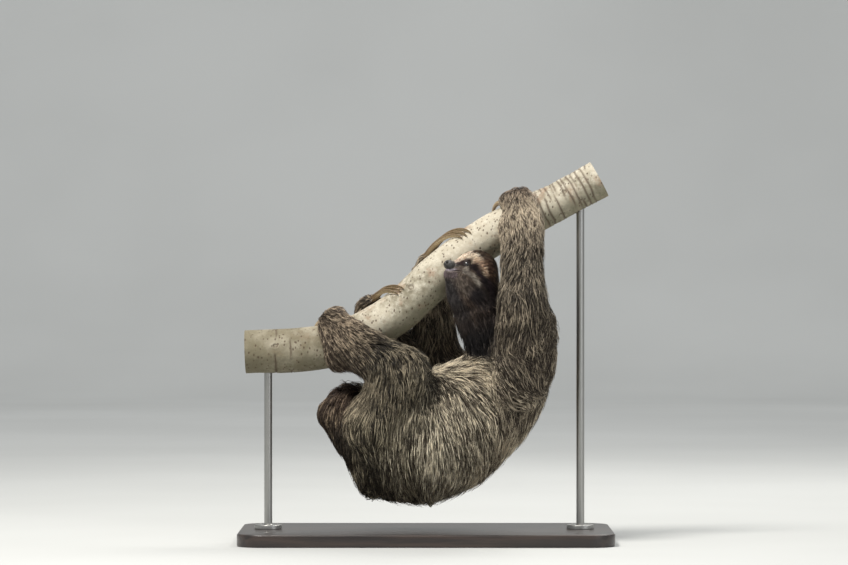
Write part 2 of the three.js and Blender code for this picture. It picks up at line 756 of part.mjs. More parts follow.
function finishFor(name) {
  const kind = Object.keys(FINISHES).find((start) => name.startsWith(start));
  return FINISHES[kind ?? "coat"];
}

const sloth = new THREE.Group();
for (const [name, solid] of nodes) {
  const mesh = new THREE.Mesh(geometryOf(solid), new THREE.MeshStandardMaterial(finishFor(name)));
  mesh.name = name;
  sloth.add(mesh);
}

export default sloth;
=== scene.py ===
import math

import bpy
import numpy as np
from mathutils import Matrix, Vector
from mathutils.bvhtree import BVHTree
from mathutils.kdtree import KDTree


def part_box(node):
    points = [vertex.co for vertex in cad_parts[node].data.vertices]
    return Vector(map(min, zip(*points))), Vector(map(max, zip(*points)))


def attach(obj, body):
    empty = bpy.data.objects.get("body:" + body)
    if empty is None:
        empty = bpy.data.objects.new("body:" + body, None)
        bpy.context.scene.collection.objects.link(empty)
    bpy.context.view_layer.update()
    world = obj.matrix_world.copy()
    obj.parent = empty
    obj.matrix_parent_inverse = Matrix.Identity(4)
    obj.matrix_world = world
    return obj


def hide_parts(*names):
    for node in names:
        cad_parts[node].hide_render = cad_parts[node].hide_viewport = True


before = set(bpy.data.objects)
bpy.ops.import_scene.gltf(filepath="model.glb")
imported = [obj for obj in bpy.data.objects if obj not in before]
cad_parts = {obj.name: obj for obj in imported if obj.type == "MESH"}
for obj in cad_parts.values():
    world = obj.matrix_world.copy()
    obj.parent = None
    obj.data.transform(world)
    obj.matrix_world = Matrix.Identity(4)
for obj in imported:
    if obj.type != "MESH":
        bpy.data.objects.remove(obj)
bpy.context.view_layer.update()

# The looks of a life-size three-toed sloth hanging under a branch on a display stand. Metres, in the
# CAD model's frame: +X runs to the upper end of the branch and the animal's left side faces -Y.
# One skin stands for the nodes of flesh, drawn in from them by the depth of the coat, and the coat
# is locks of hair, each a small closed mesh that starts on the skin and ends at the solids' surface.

MM = 0.001
FAIRING, GIRTH_BACK = 0.5, 1.06  # how far a pass of smoothing moves points, and how much it gives back
DOWN = np.array([0.0, 0.0, -1.0])
random = np.random.default_rng(20)

# ---- camera and studio

IMAGE_WIDTH_M = 1.484  # what the picture spans at the animal's middle
CAMERA_DISTANCE = 7.0
CAMERA_AIM = (-0.0035, 0.453)  # x and z
SENSOR_MM = 36
CAMERA_CLIP_END = 100
WALL = {"front": -12.0, "bend": 8.4, "radius": 3.0, "top": 10.0, "half_width": 17.0}
ANIMAL, BACKDROP = (0, 0, 0.35), (0, 10.6, 2.2)
# Each light's name, place, aim, width, power and colour.
LIGHTS = (
    ("key", (-1.1, -1.6, 3.2), ANIMAL, 1.1, 150, (1.0, 0.97, 0.92)),
    ("fill", (2.6, -2.6, 1.4), ANIMAL, 2.4, 22, (0.94, 0.97, 1.0)),
    ("back", (1.2, 1.9, 2.8), ANIMAL, 1.6, 60, (1.0, 0.98, 0.94)),
    ("wall", (0, 4.5, 7.8), BACKDROP, 5.0, 330, (1.0, 1.0, 1.0)),
)
SKY, SKY_STRENGTH = (0.9, 0.93, 0.95, 1), 0.46


def make_camera():
    data = bpy.data.cameras.new("camera")
    data.sensor_width = SENSOR_MM
    data.lens = SENSOR_MM * CAMERA_DISTANCE / IMAGE_WIDTH_M
    data.clip_end = CAMERA_CLIP_END
    camera = bpy.data.objects.new("camera", data)
    bpy.context.scene.collection.objects.link(camera)
    camera.location = (CAMERA_AIM[0], -CAMERA_DISTANCE, CAMERA_AIM[1])
    camera.rotation_euler = (math.radians(90), 0, 0)
    bpy.context.scene.camera = camera


def make_lights():
    for name, place, aim, size, power, colour in LIGHTS:
        data = bpy.data.lights.new(name, "AREA")
        data.shape = "DISK"
        data.size = size
        data.energy = power
        data.color = colour
        light = bpy.data.objects.new(name, data)
        light.location = place
        light.rotation_euler = (Vector(aim) - Vector(place)).to_track_quat("-Z", "Y").to_euler()
        bpy.context.scene.collection.objects.link(light)
    world = bpy.data.worlds.new("studio")
    world.use_nodes = True
    background = world.node_tree.nodes["Background"]
    background.inputs["Color"].default_value = SKY
    background.inputs["Strength"].default_value = SKY_STRENGTH
    bpy.context.scene.world = world
    bpy.context.scene.view_settings.view_transform = "Standard"


# ---- materials


def linear(colour):
    """Colours in display values from 0 to 255, as linear light."""
    share = np.asarray(colour, float) / 255
    return np.where(share <= 0.04045, share / 12.92, ((share + 0.055) / 1.055) ** 2.4)


def rgba(colour):
    return (*linear(colour), 1.0)


class Paint:
    """A node material, put together from numbers, noises and the fields of the mesh."""

    def __init__(self, name, **sockets):
        self.material = bpy.data.materials.new(name)
        self.material.use_nodes = True
        self.tree = self.material.node_tree
        self.shader = self.tree.nodes["Principled BSDF"]
        self.finish(**sockets)

    def finish(self, **sockets):
        for name, value in sockets.items():
            self.put(self.shader.inputs[name.replace("_", " ")], value)

    def put(self, socket, value):
        if isinstance(value, bpy.types.NodeSocket):
            self.tree.links.new(value, socket)
        else:
            socket.default_value = value

    def node(self, kind, inputs, **settings):
        node = self.tree.nodes.new("ShaderNode" + kind)
        for name, value in settings.items():
            setattr(node, name, value)
        for name, value in inputs.items():
            self.put(node.inputs[name], value)
        return node

    def value(self, name):
        return self.node("Attribute", {}, attribute_name=name).outputs["Fac"]

    def colour(self, name):
        return self.node("Attribute", {}, attribute_name=name).outputs["Color"]

    def place(self, stretch=(1, 1, 1)):
        where = self.node("TexCoord", {}).outputs["Object"]
        return self.node("Mapping", {"Vector": where, "Scale": stretch}).outputs["Vector"]

    def noise(self, size, detail=3.0, stretch=(1, 1, 1), roughness=0.55):
        inputs = {"Vector": self.place(stretch), "Scale": 1 / size, "Detail": detail}
        return self.node("TexNoise", {**inputs, "Roughness": roughness}).outputs["Fac"]

    def cells(self, size, stretch=(1, 1, 1)):
        inputs = {"Vector": self.place(stretch), "Scale": 1 / size}
        return self.node("TexVoronoi", inputs).outputs["Distance"]

    def between(self, value, start, end, low=0.0, high=1.0):
        inputs = {"Value": value, "From Min": start, "From Max": end, "To Min": low, "To Max": high}
        return self.node("MapRange", inputs, interpolation_type="SMOOTHSTEP").outputs["Result"]

    def sum(self, operation, *terms):
        return self.node("Math", dict(enumerate(terms)), operation=operation).outputs[0]

    def mix(self, factor, first, second):
        inputs = {0: factor, 6: first, 7: second}
        return self.node("Mix", inputs, data_type="RGBA").outputs[2]

    def shaded(self, colour, shade):
        inputs = {0: colour, "Scale": shade}
        return self.node("VectorMath", inputs, operation="SCALE").outputs[0]

    def bump(self, height, distance, strength=1.0):
        inputs = {"Height": height, "Distance": distance, "Strength": strength}
        self.put(self.shader.inputs["Normal"], self.node("Bump", inputs).outputs["Normal"])


def hair_material():
    """Each lock runs from a root darkened with painted shade to its own tone between the coat's deep
    and light colours.
    """
    paint = Paint("hair", Roughness=0.62, Specular_IOR_Level=0.28)
    lit = paint.sum("ADD", paint.value("wisp"), paint.value("pale"))
    tone = paint.between(lit, 0.84, 1.18)
    fleck = paint.between(paint.noise(6 * MM), 0.3, 0.7, -0.12, 0.12)
    colour = paint.mix(paint.sum("ADD", tone, fleck), paint.colour("deep"), paint.colour("light"))
    # Painted shade: each lock is darker towards its root, where the coat shades it.
    shade = paint.between(paint.value("along"), 0.0, 0.75, 0.42, 1.06)
    paint.finish(Base_Color=paint.shaded(colour, shade))
    return paint.material


def skin_material():
    """The skin has the coat's own colours, with painted shade where hair covers it, and creases where
    it's bare.
    """
    paint = Paint("skin", Roughness=0.6, Specular_IOR_Level=0.35)
    pores = paint.noise(1.4 * MM, 4.0)
    mottle = paint.between(paint.noise(9 * MM), 0.3, 0.7, 0.0, 0.3)
    tone = paint.sum("ADD", paint.between(paint.value("pale"), 0.2, 1.1), mottle)
    colour = paint.mix(tone, paint.colour("deep"), paint.colour("light"))
    # Painted shade: the skin is darker where the coat covers it.
    shade = paint.between(paint.value("bare"), 0.0, 1.0, 0.6, 1.0)
    paint.finish(Base_Color=paint.shaded(colour, shade))
    paint.bump(pores, 0.5 * MM)
    return paint.material


def claw_material():
    """Horn: tan, with darker streaks along it, an ochre root and a darker tip."""
    paint = Paint("horn", Roughness=0.38, Specular_IOR_Level=0.5)
    streak = paint.between(paint.noise(2.2 * MM, 4.0), 0.35, 0.65)
    horn = paint.mix(streak, rgba((150, 130, 98)), rgba((196, 176, 140)))
    root = paint.between(paint.value("along"), 0.0, 0.45, 0.75, 0.0)
    colour = paint.mix(root, horn, rgba((112, 92, 68)))
    under = paint.between(paint.value("under"), 0.35, 1.0, 0.0, 0.7)
    colour = paint.mix(under, colour, rgba((92, 70, 48)))
    tip = paint.between(paint.value("along"), 0.86, 1.0, 0.0, 0.5)
    paint.finish(Base_Color=paint.mix(tip, colour, rgba((96, 74, 52))))
    paint.bump(paint.value("groove"), 0.3 * MM)
    return paint.material


def eye_material():
    """A brown iris with a round pupil in a near-black ball, under a wet coat."""
    paint = Paint("eye", Roughness=0.12, Specular_IOR_Level=0.6, Coat_Weight=1.0, Coat_Roughness=0.03)
    gaze = paint.value("gaze")
    fibres = paint.between(paint.noise(0.8 * MM, 3.0), 0.3, 0.7)
    iris = paint.mix(fibres, rgba((34, 20, 15)), rgba((60, 35, 24)))
    ring = paint.between(gaze, 0.72, 0.8)
    colour = paint.mix(ring, rgba((22, 14, 12)), iris)
    paint.finish(Base_Color=paint.mix(paint.between(gaze, 0.86, 0.885), colour, rgba((4, 3, 3))))
    return paint.material


def nose_material():
    paint = Paint("nose", Roughness=0.42, Specular_IOR_Level=0.5)
    grain = paint.cells(1.5 * MM)
    mottle = paint.between(paint.noise(5 * MM), 0.35, 0.7)
    colour = paint.mix(mottle, rgba((40, 39, 39)), rgba((72, 69, 66)))
    # The nostrils are painted near-black: painted shade inside them.
    paint.finish(Base_Color=paint.mix(paint.value("hole"), colour, rgba((8, 6, 6))))
    paint.bump(grain, 0.35 * MM, 0.8)
    return paint.material


def bark_material():
    """Smooth pale bark: grey, cream and pinkish patches, dark flecks in rows, and painted greenish
    shade below.
    """
    paint = Paint("bark", Roughness=0.86, Specular_IOR_Level=0.25)
    wide = paint.noise(75 * MM, 4.0)
    fine = paint.noise(11 * MM, 6.0, roughness=0.65)
    grey = paint.mix(paint.between(wide, 0.4, 0.6), rgba((184, 175, 156)), rgba((130, 123, 105)))
    patch = paint.between(paint.noise(38 * MM, 5.0), 0.52, 0.66)
    grey = paint.mix(patch, grey, rgba((158, 138, 118)))
    grey = paint.mix(paint.between(fine, 0.35, 0.75), grey, rgba((204, 197, 180)))
    # Painted shade: the branch's underside is darker and greenish.
    green_shade_below = paint.sum("MULTIPLY", paint.value("under"), paint.between(fine, 0.3, 0.6, 0.35, 1.0))
    grey = paint.mix(paint.sum("MULTIPLY", green_shade_below, 0.85), grey, rgba((116, 112, 88)))
    # Painted shade: the branch's lower end is darker and greener.
    aged = paint.sum("MULTIPLY", paint.value("aged"), paint.between(wide, 0.3, 0.55, 0.5, 1.0))
    grey = paint.mix(aged, grey, rgba((112, 105, 85)))
    crowd = paint.between(paint.noise(30 * MM, 3.0), 0.3, 0.52)
    flecks = paint.between(paint.cells(6 * MM, (1, 1, 0.6)), 0.12, 0.32, 1.0, 0.0)
    flecks = paint.sum("MULTIPLY", flecks, crowd)
    specks = paint.between(paint.cells(2.6 * MM), 0.12, 0.28, 0.6, 0.0)
    specks = paint.sum("MULTIPLY", specks, paint.between(fine, 0.45, 0.6))
    dark = paint.sum("MAXIMUM", flecks, paint.sum("MAXIMUM", specks, paint.value("scar")))
    bark = paint.mix(paint.sum("MULTIPLY", dark, 0.85), grey, rgba((78, 62, 50)))
    rings = paint.value("rings")
    wave = paint.sum("SINE", paint.sum("MULTIPLY_ADD", rings, 70.0, paint.sum("MULTIPLY", wide, 16.0)))
    wood = paint.mix(paint.between(wave, -0.4, 1.0), rgba((214, 194, 158)), rgba((178, 150, 112)))
    wood = paint.mix(paint.between(fine, 0.3, 0.8, 0.0, 0.4), wood, rgba((150, 126, 96)))
    wood = paint.mix(paint.between(rings, 0.9, 0.97), wood, rgba((112, 88, 64)))
    paint.finish(Base_Color=paint.mix(paint.value("cut"), bark, wood))
    paint.bump(paint.sum("SUBTRACT", fine, paint.sum("MULTIPLY", dark, 0.35)), 1.6 * MM)
    return paint.material


def lacquer_material():
    paint = Paint("lacquer", Roughness=0.42, Coat_Weight=0.35, Coat_Roughness=0.18)
    grain = paint.noise(9 * MM, 6.0, (0.06, 1, 1))
    colour = paint.mix(paint.between(grain, 0.35, 0.7), rgba((34, 27, 24)), rgba((58, 46, 40)))
    paint.finish(Base_Color=colour)
    paint.bump(grain, 0.25 * MM)
    return paint.material


def steel_material():
    paint = Paint("steel", Metallic=1.0)
    brush = paint.noise(1.2 * MM, 4.0, (1, 1, 14))
    colour = paint.mix(brush, rgba((150, 149, 146)), rgba((186, 185, 181)))
    paint.finish(Base_Color=colour, Roughness=paint.between(brush, 0.3, 0.7, 0.28, 0.42))
    paint.bump(brush, 0.08 * MM)
    return paint.material


def wall_material():
    paint = Paint("wall", Roughness=0.9, Specular_IOR_Level=0.1)
    tint = paint.between(paint.noise(1.7), 0.3, 0.7)
    paint.finish(Base_Color=paint.mix(tint, rgba((188, 189, 187)), rgba((195, 196, 194))))
    return paint.material


# ---- meshes from arrays


def new_mesh(name, points, faces):
    """A mesh from arrays of points and of faces that all have as many corners."""
    corners = faces.shape[1]
    mesh = bpy.data.meshes.new(name)
    mesh.vertices.add(len(points))
    mesh.vertices.foreach_set("co", np.ascontiguousarray(points, np.float32).ravel())
    mesh.loops.add(faces.size)
    mesh.loops.foreach_set("vertex_index", np.ascontiguousarray(faces, np.int32).ravel())
    mesh.polygons.add(len(faces))
    mesh.polygons.foreach_set("loop_start", np.arange(0, faces.size, corners, dtype=np.int32))
    mesh.polygons.foreach_set("use_smooth", np.ones(len(faces), bool))
    mesh.update(calc_edges=True)
    mesh.validate()
    return mesh


def new_object(name, mesh):
    piece = bpy.data.objects.new(name, mesh)
    bpy.context.scene.collection.objects.link(piece)
    return piece


def new_piece(name, points, faces, material, slot, replaced=(), sharp=None, **fields):
    """A piece on the root. Each field has a number, or a colour, for each of its points."""
    mesh = new_mesh(name, points, faces)
    if sharp:
        mesh.set_sharp_from_angle(angle=math.radians(sharp))
    piece = new_object(name, mesh)
    mesh.materials.append(material)
    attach(piece, "root")
    if replaced:
        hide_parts(*replaced)
    for field, values in fields.items():
        add_field(mesh, field, values)
    return mesh


def add_field(mesh, name, values):
    kind, key = ("FLOAT", "value") if values.ndim == 1 else ("FLOAT_COLOR", "color")
    if key == "color":
        values = np.concatenate([values, np.ones((len(values), 1))], axis=1)
    data = mesh.attributes.new(name, kind, "POINT").data
    data.foreach_set(key, values.astype(np.float32).ravel())


def add_map(mesh, places):
    """The OFBake map, from a place for each corner of each face."""
    layer = mesh.uv_layers.new(name="OFBake")
    layer.uv.foreach_set("vector", np.ascontiguousarray(places, np.float32).ravel())


def arrays_of(mesh):
    points = np.empty(len(mesh.vertices) * 3)
    mesh.vertices.foreach_get("co", points)
    mesh.calc_loop_triangles()
    faces = np.empty(len(mesh.loop_triangles) * 3, np.int32)
    mesh.loop_triangles.foreach_get("vertices", faces)
    return points.reshape(-1, 3), faces.reshape(-1, 3)


def solid_of(name):
    """A CAD node's points, with those at one place made one, and its triangles."""
    points, faces = arrays_of(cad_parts[name].data)
    places, back = np.unique(np.round(points, 6), axis=0, return_inverse=True)
    return places, back.reshape(-1)[faces]


def middle(name):
    low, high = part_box(name)
    return np.array((low + high) / 2)


def around(count):
    """Angles evenly spaced once round."""
    return np.linspace(0, 2 * math.pi, count + 1)[:-1]


def unit(vectors):
    return vectors / np.maximum(np.linalg.norm(vectors, axis=-1, keepdims=True), 1e-9)


def smooth(values, start, end):
    """From 0 at start to 1 at end."""
    share = np.clip((values - start) / (end - start), 0, 1)
    return share * share * (3 - 2 * share)


def bell(distance, width):
    return np.exp(-((distance / width) ** 2))


def scatter_add(index, values, count):
    return np.stack([np.bincount(index, values[:, i], minlength=count) for i in range(3)], axis=1)


def normals_of(points, faces):
    across = points[faces[:, 1]] - points[faces[:, 0]]
    along = points[faces[:, 2]] - points[faces[:, 0]]
    normal = np.cross(across, along)
    total = sum(scatter_add(faces[:, i], normal, len(points)) for i in range(3))
    return unit(total)


def tangent(vectors, normals):
    return unit(vectors - (vectors * normals).sum(1)[:, None] * normals)


def turned(vectors, normals, angles):
    """Vectors in a surface turned about its normals."""
    across = np.cross(normals, vectors)
    return vectors * np.cos(angles)[:, None] + across * np.sin(angles)[:, None]


def value_noise(points, size, seed):
    """Smooth noise from -1 to 1, whose lumps are about `size` metres apart."""
    scaled = points / size
    base = np.floor(scaled).astype(np.int64)
    share = scaled - base
    share = share * share * (3 - 2 * share)
    total = np.zeros(len(points))
    for corner in range(8):
        step = np.array([corner & 1, corner >> 1 & 1, corner >> 2])
        cell = base + step
        mixed = (cell[:, 0] * 73856093) ^ (cell[:, 1] * 19349663) ^ (cell[:, 2] * 83492791)
        mixed = (mixed + seed * 2654435761) & 0x7FFFFFFF
        mixed = (mixed ^ (mixed >> 13)) * 1274126177 & 0x7FFFFFFF
        mixed = mixed ^ (mixed >> 16)
        weight = np.prod(np.where(step == 1, share, 1 - share), axis=1)
        total += weight * ((mixed & 0xFFFF) / 0x7FFF - 1)
    return total


def noises(points, layers):
    """Smooth noises added up, from the height, size and seed of each."""
    return sum(height * value_noise(points, size, seed) for height, size, seed in layers)


class Net:
    """The edges of a mesh, to average values over each point's neighbours."""

    def __init__(self, faces, count):
        pairs = np.concatenate([faces[:, [0, 1]], faces[:, [1, 2]], faces[:, [2, 0]]])
        pairs = np.unique(np.sort(pairs, axis=1), axis=0)
        self.start = np.concatenate([pairs[:, 0], pairs[:, 1]])
        self.end = np.concatenate([pairs[:, 1], pairs[:, 0]])
        self.count = count
        self.degree = np.maximum(np.bincount(self.start, minlength=count), 1)

    def mean(self, values):
        columns = values.reshape(len(values), -1)
        sums = [np.bincount(self.start, c[self.end], minlength=self.count) for c in columns.T]
        return (np.stack(sums, axis=1) / self.degree[:, None]).reshape(values.shape)

    def blur(self, values, times):
        for _ in range(times):
            values = (values + self.mean(values)) / 2
        return values

    def fair(self, points, times):
        """Smooths points and gives back the girth that plain smoothing takes away."""
        for _ in range(times):
            points = points + FAIRING * (self.mean(points) - points)
            points = points - GIRTH_BACK * FAIRING * (self.mean(points) - points)
        return points


def remesh(points, faces, voxel):
    scratch = new_object("scratch", new_mesh("scratch", points, faces))
    modifier = scratch.modifiers.new("voxels", "REMESH")
    modifier.mode = "VOXEL"
    modifier.voxel_size = voxel
    shaped = scratch.evaluated_get(bpy.context.evaluated_depsgraph_get())
    result = bpy.data.meshes.new_from_object(shaped)
    found = arrays_of(result)
    bpy.data.meshes.remove(scratch.data)
    bpy.data.meshes.remove(result)
    return found


def refine(points, faces, chosen):
    """Splits the chosen triangles in four, and their neighbours to match."""
    sides = np.sort(np.stack([faces, np.roll(faces, -1, axis=1)], axis=2), axis=2)
    edges, back = np.unique(sides.reshape(-1, 2), axis=0, return_inverse=True)
    back = back.reshape(-1, 3)
    cut = np.zeros(len(edges), bool)
    cut[back[chosen].ravel()] = True
    middles = np.full(len(edges), -1)
    middles[cut] = len(points) + np.arange(cut.sum())
    points = np.concatenate([points, points[edges[cut]].mean(1)])
    marks = middles[back]
    cuts = (marks >= 0).sum(1)
    # Each face is turned so that its cut edges come first.
    first = np.where(cuts == 2, np.argmin(marks >= 0, axis=1) + 1, np.argmax(marks >= 0, axis=1))
    order = (first[:, None] + np.arange(3)) % 3
    a, b, c = np.take_along_axis(faces, order, 1).T
    ab, bc, ca = np.take_along_axis(marks, order, 1).T
    parts = [faces[cuts == 0]]
    for count, corners in (
        (1, ((a, ab, c), (ab, b, c))),
        (2, ((ab, b, bc), (a, ab, bc), (a, bc, c))),
        (3, ((a, ab, ca), (ab, b, bc), (ca, bc, c), (ab, bc, ca))),
    ):
        here = cuts == count
        parts += [np.stack(triple, axis=1)[here] for triple in corners]
    return points, np.concatenate(parts)


def nearest(tree, points):
    """The nearest places on a surface, and the faces that they lie on."""
    found = [tree.find_nearest(point) for point in points.tolist()]
    places = np.array([hit[0][:] for hit in found])
    return places, np.array([hit[2] for hit in found])


def tree_of(points, faces):
    return BVHTree.FromPolygons(points.tolist(), faces.tolist())


def join(bodies):
    """The points and faces of several bodies as those of one."""
    points, faces = zip(*bodies)
    starts = np.cumsum([0, *map(len, points)])
    moved = [some_faces + start for some_faces, start in zip(faces, starts)]
    return np.concatenate(points), np.concatenate(moved)


def beside_line(places, line):
    """How far each place is from a line of points, and which way its nearest stretch runs."""
    line = np.asarray(line, float)
    best = np.full(len(places), np.inf)
    run = np.zeros((len(places), 3))
    for start, step in zip(line, line[1:] - line[:-1]):
        share = np.clip((places - start) @ step / (step @ step), 0, 1)
        away = np.linalg.norm(places - start - share[:, None] * step, axis=1)
        nearer = away < best
        best[nearer] = away[nearer]
        run[nearer] = unit(step)
    return best, run


def ball(axis, across, tilts, sides):
    """Directions out of a ball: for each tilt from its axis, a ring of so many sides."""
    turns, tilts = around(sides)[:, None], tilts[:, None, None]
    ring = np.cos(turns) * across + np.sin(turns) * np.cross(axis, across)
    return np.cos(tilts) * axis + np.sin(tilts) * ring


def tilts_of(rows):
    """The angles of so many rows between the two poles of a ball."""
    return np.linspace(0, math.pi, rows + 2)[1:-1]


def loft(rings, closed_ends=True):
    """Triangles over rings of points, each as long as the others, with a point at each end."""
    count, sides = rings.shape[:2]
    i, k = np.meshgrid(np.arange(count - 1), np.arange(sides), indexing="ij")
    a, b = (i * sides + k).ravel(), (i * sides + (k + 1) % sides).ravel()
    faces = [np.stack([a, b, a + sides], axis=1), np.stack([b, b + sides, a + sides], axis=1)]
    points = rings.reshape(-1, 3)
    if closed_ends:
        last, k = (count - 1) * sides, np.arange(sides)
        ends = np.full(sides, len(points))
        faces.append(np.stack([ends, (k + 1) % sides, k], axis=1))
        faces.append(np.stack([ends + 1, last + k, last + (k + 1) % sides], axis=1))
        points = np.concatenate([points, rings[[0, -1]].mean(1)])
    return points, np.concatenate(faces)


# ---- the head's own frame

# Where the eyes and nose lie in the head's frame, in millimetres: out through the nose, to a side
# and up to the crown.
EYES_AT = np.array([21.0, 17.2, 10.0])
NOSE_AT = np.array([45.0, 0.0, 0.0])
NOSE_RADII = np.array([8.5, 12.5, 8.5])
EYE_RADIUS = 6.2


class Head:
    def __init__(self):
        eyes = [middle("eye_left"), middle("eye_right")]
        leftward = unit(eyes[0] - eyes[1])
        between = (eyes[0] + eyes[1]) / 2
        to_nose = middle("nose") - between
        side_on = unit(to_nose - (to_nose @ leftward) * leftward)
        upright = np.cross(side_on, leftward)
        turn = math.atan2(EYES_AT[2] - NOSE_AT[2], NOSE_AT[0] - EYES_AT[0])
        forward = unit(side_on * math.cos(turn) + upright * math.sin(turn))
        self.axes = np.stack([forward, leftward, unit(np.cross(forward, leftward))])
        self.origin = between - MM * (EYES_AT[0] * self.axes[0] + EYES_AT[2] * self.axes[2])

    def into(self, points):
        return (points - self.origin) @ self.axes.T / MM

    def out(self, local):
        return self.origin + np.asarray(local) * MM @ self.axes


head = Head()

# ---- coat surface, skin

FLESH = sorted(
    name
    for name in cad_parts
    if not name.startswith(("claw", "eye", "nose", "branch", "stand"))
)
FILLED = FLESH + ["eye_left", "eye_right", "nose"]

# The hair of each part: the coat's depth, then the numbers named below. Millimetres, but `locks` are
# how many grow on each square centimetre, `gather` how far they draw together into the wisps that
# stand `wisp` apart, `mess` how much they stray, and `pale` how many of them are light.
NUMBERS = ("length", "width", "locks", "wisp", "gather", "mess", "pale")
HAIR = {
    "tail": (9, 32, 1.3, 18, 6, 0.6, 0.5, 0.24),
    # The pelvis has fewer pale locks than the belly: partly its own tone, partly painted shade under
    # the body.
    "pelvis": (24, 56, 1.3, 18, 6.5, 0.7, 0.45, 0.36),
    "belly": (24, 54, 1.3, 18, 6.5, 0.7, 0.45, 0.52),
    "chest": (20, 50, 1.25, 19, 6, 0.7, 0.7, 0.5),
    "neck": (14, 32, 1.2, 19, 6, 0.6, 0.5, 0.3),
    "head": (6, 9, 0.7, 66, 4, 0.3, 0.5, 0.5),
    "upper_arm": (19, 50, 1.3, 17.5, 8, 0.8, 1.6, 0.46),
    "forearm": (14, 44, 1.25, 18, 7, 0.75, 1.0, 0.44),
    "hand": (7, 21, 1.0, 28, 5, 0.5, 0.8, 0.55),
    "thigh": (19, 50, 1.3, 18, 7, 0.8, 0.8, 0.42),
    "shin": (14, 42, 1.25, 18, 7, 0.75, 0.8, 0.38),
    "foot": (7, 20, 1.0, 28, 5, 0.5, 0.7, 0.36),
}
# The deep and the light colour that each part's hair lies between.
COLOURS = {
    "tail": ((38, 30, 25), (118, 98, 76)),
    # The pelvis's darker colours are partly its own and partly painted shade under the body.
    "pelvis": ((52, 46, 37), (206, 193, 164)),
    "belly": ((64, 55, 44), (246, 234, 208)),
    "chest": ((62, 53, 43), (232, 217, 190)),
    # The neck's dark colours are partly its own and partly painted shade under the head.
    "neck": ((34, 32, 34), (68, 64, 64)),
    "head": ((62, 50, 43), (116, 98, 84)),
    "upper_arm": ((54, 46, 40), (190, 175, 152)),
    "forearm": ((48, 42, 36), (164, 151, 131)),
    "hand": ((80, 69, 59), (208, 192, 168)),
    "thigh": ((40, 36, 30), (178, 167, 143)),
    "shin": ((37, 33, 28), (156, 144, 122)),
    "foot": ((72, 61, 52), (184, 166, 142)),
}
NECK_ENDS = 0.338  # below this height the neck's solid has the chest's hair
# How the coat thickens away from the nose.
FACE_DEPTH = {"least": 1.6, "from": 10, "to": 62, "limit": 40}
COAT_CLOSING = 0.9 * MM  # grows each node over the gap to its neighbours
COAT_VOXEL = 4 * MM
SKIN_VOXEL = 3.4 * MM
SNUG = 1.1  # how far the faired coat is let out again to the solids
DRAW_STEPS = 10
FINER = (((14, 0, 2), 54), ((34, 0, -2), 36), (EYES_AT, 13))  # centres and reaches in the head's frame
# How many times over the coat and the skin are faired, and the coat's depth evened out.
FAIR_COAT, FAIR_SNUG, FAIR_STEP, FAIR_SKIN, FAIR_FACE = 8, 2, 4, 16, 4
EVEN_DEPTH, EVEN_SNUG, EVEN_LAST = 24, 4, 4
# The left arm's fur lies against the cheek, but their skins don't join: near the head the arm is
# moved out by `by`, less and less beyond `within` over a distance of `fade`.
BESIDE_HEAD = ("forearm_left", "upper_arm_left")
CLEAR_OF_HEAD = {"by": np.array([0.003, -0.009, 0]), "within": 0.05, "fade": 0.03}


def kind_of(name):
    return next((kind for kind in HAIR if name.startswith(kind)), "head")


KINDS = [kind_of(name) for name in FILLED]


def join_flesh():
    """All flesh nodes as one set of triangles, with the number of each one's node."""
    bodies, owner = [], []
    for number, name in enumerate(FILLED):
        points, faces = solid_of(name)
        points = points + COAT_CLOSING * normals_of(points, faces)
        if name in BESIDE_HEAD:
            beyond = np.linalg.norm(points - head.origin, axis=1) - CLEAR_OF_HEAD["within"]
            near = bell(np.maximum(beyond, 0), CLEAR_OF_HEAD["fade"])
            points = points + near[:, None] * CLEAR_OF_HEAD["by"]
        bodies.append((points, faces))
        owner.append(np.full(len(faces), number))
    return (*join(bodies), np.concatenate(owner))


def kinds_at(points, node):
    kinds = np.array(KINDS)[node]
    return np.where((kinds == "neck") & (points[:, 2] < NECK_ENDS), "chest", kinds)


def make_coat_surface():
    """The coat's outer face, its depth at each point, and the solids that it was made from."""
    points, faces, owner = join_flesh()
    solids = tree_of(points, faces)
    coat, coat_faces = remesh(points, faces, COAT_VOXEL)
    net = Net(coat_faces, len(coat))
    kinds = kinds_at(coat, owner[nearest(solids, coat)[1]])
    depth = np.array([HAIR[kind][0] for kind in kinds], float)
    from_nose = np.linalg.norm(head.into(coat) - NOSE_AT, axis=1)
    thick = smooth(from_nose, FACE_DEPTH["from"], FACE_DEPTH["to"])
    depth = np.minimum(depth, FACE_DEPTH["limit"] * thick + depth * (thick == 1))
    depth = net.blur(depth, EVEN_DEPTH)
    least = FACE_DEPTH["least"]
    on_face = least + (HAIR["head"][0] - least) * thick
    depth = np.where(kinds == "head", np.minimum(depth, on_face), depth)
    coat = net.fair(coat, FAIR_COAT)
    normals = normals_of(coat, coat_faces)
    short = ((nearest(solids, coat)[0] - coat) * normals).sum(1)
    let_out = SNUG * net.blur(np.clip(short, 0, None), EVEN_SNUG)
    coat = net.fair(coat + normals * let_out[:, None], FAIR_SNUG)
    depth = net.blur(depth, EVEN_LAST) * MM
    return dict(points=coat, faces=coat_faces, net=net, depth=depth, solids=solids, owner=owner)


def make_skin_shape(coat):
    """The coat's face drawn in by its depth, a little at a time."""
    points = coat["points"].copy()
    for _ in range(DRAW_STEPS):
        points -= normals_of(points, coat["faces"]) * (coat["depth"] / DRAW_STEPS)[:, None]
        points = coat["net"].fair(points, FAIR_STEP)
    points, faces = remesh(points, coat["faces"], SKIN_VOXEL)
    points = Net(faces, len(points)).fair(points, FAIR_SKIN)
    return refine_face(points, faces)


def near_place(points, centre, reach):
    """Which points are near a place in the head's frame, on either side."""
    return np.linalg.norm(mirrored(head.into(points)) - centre, axis=1) < reach


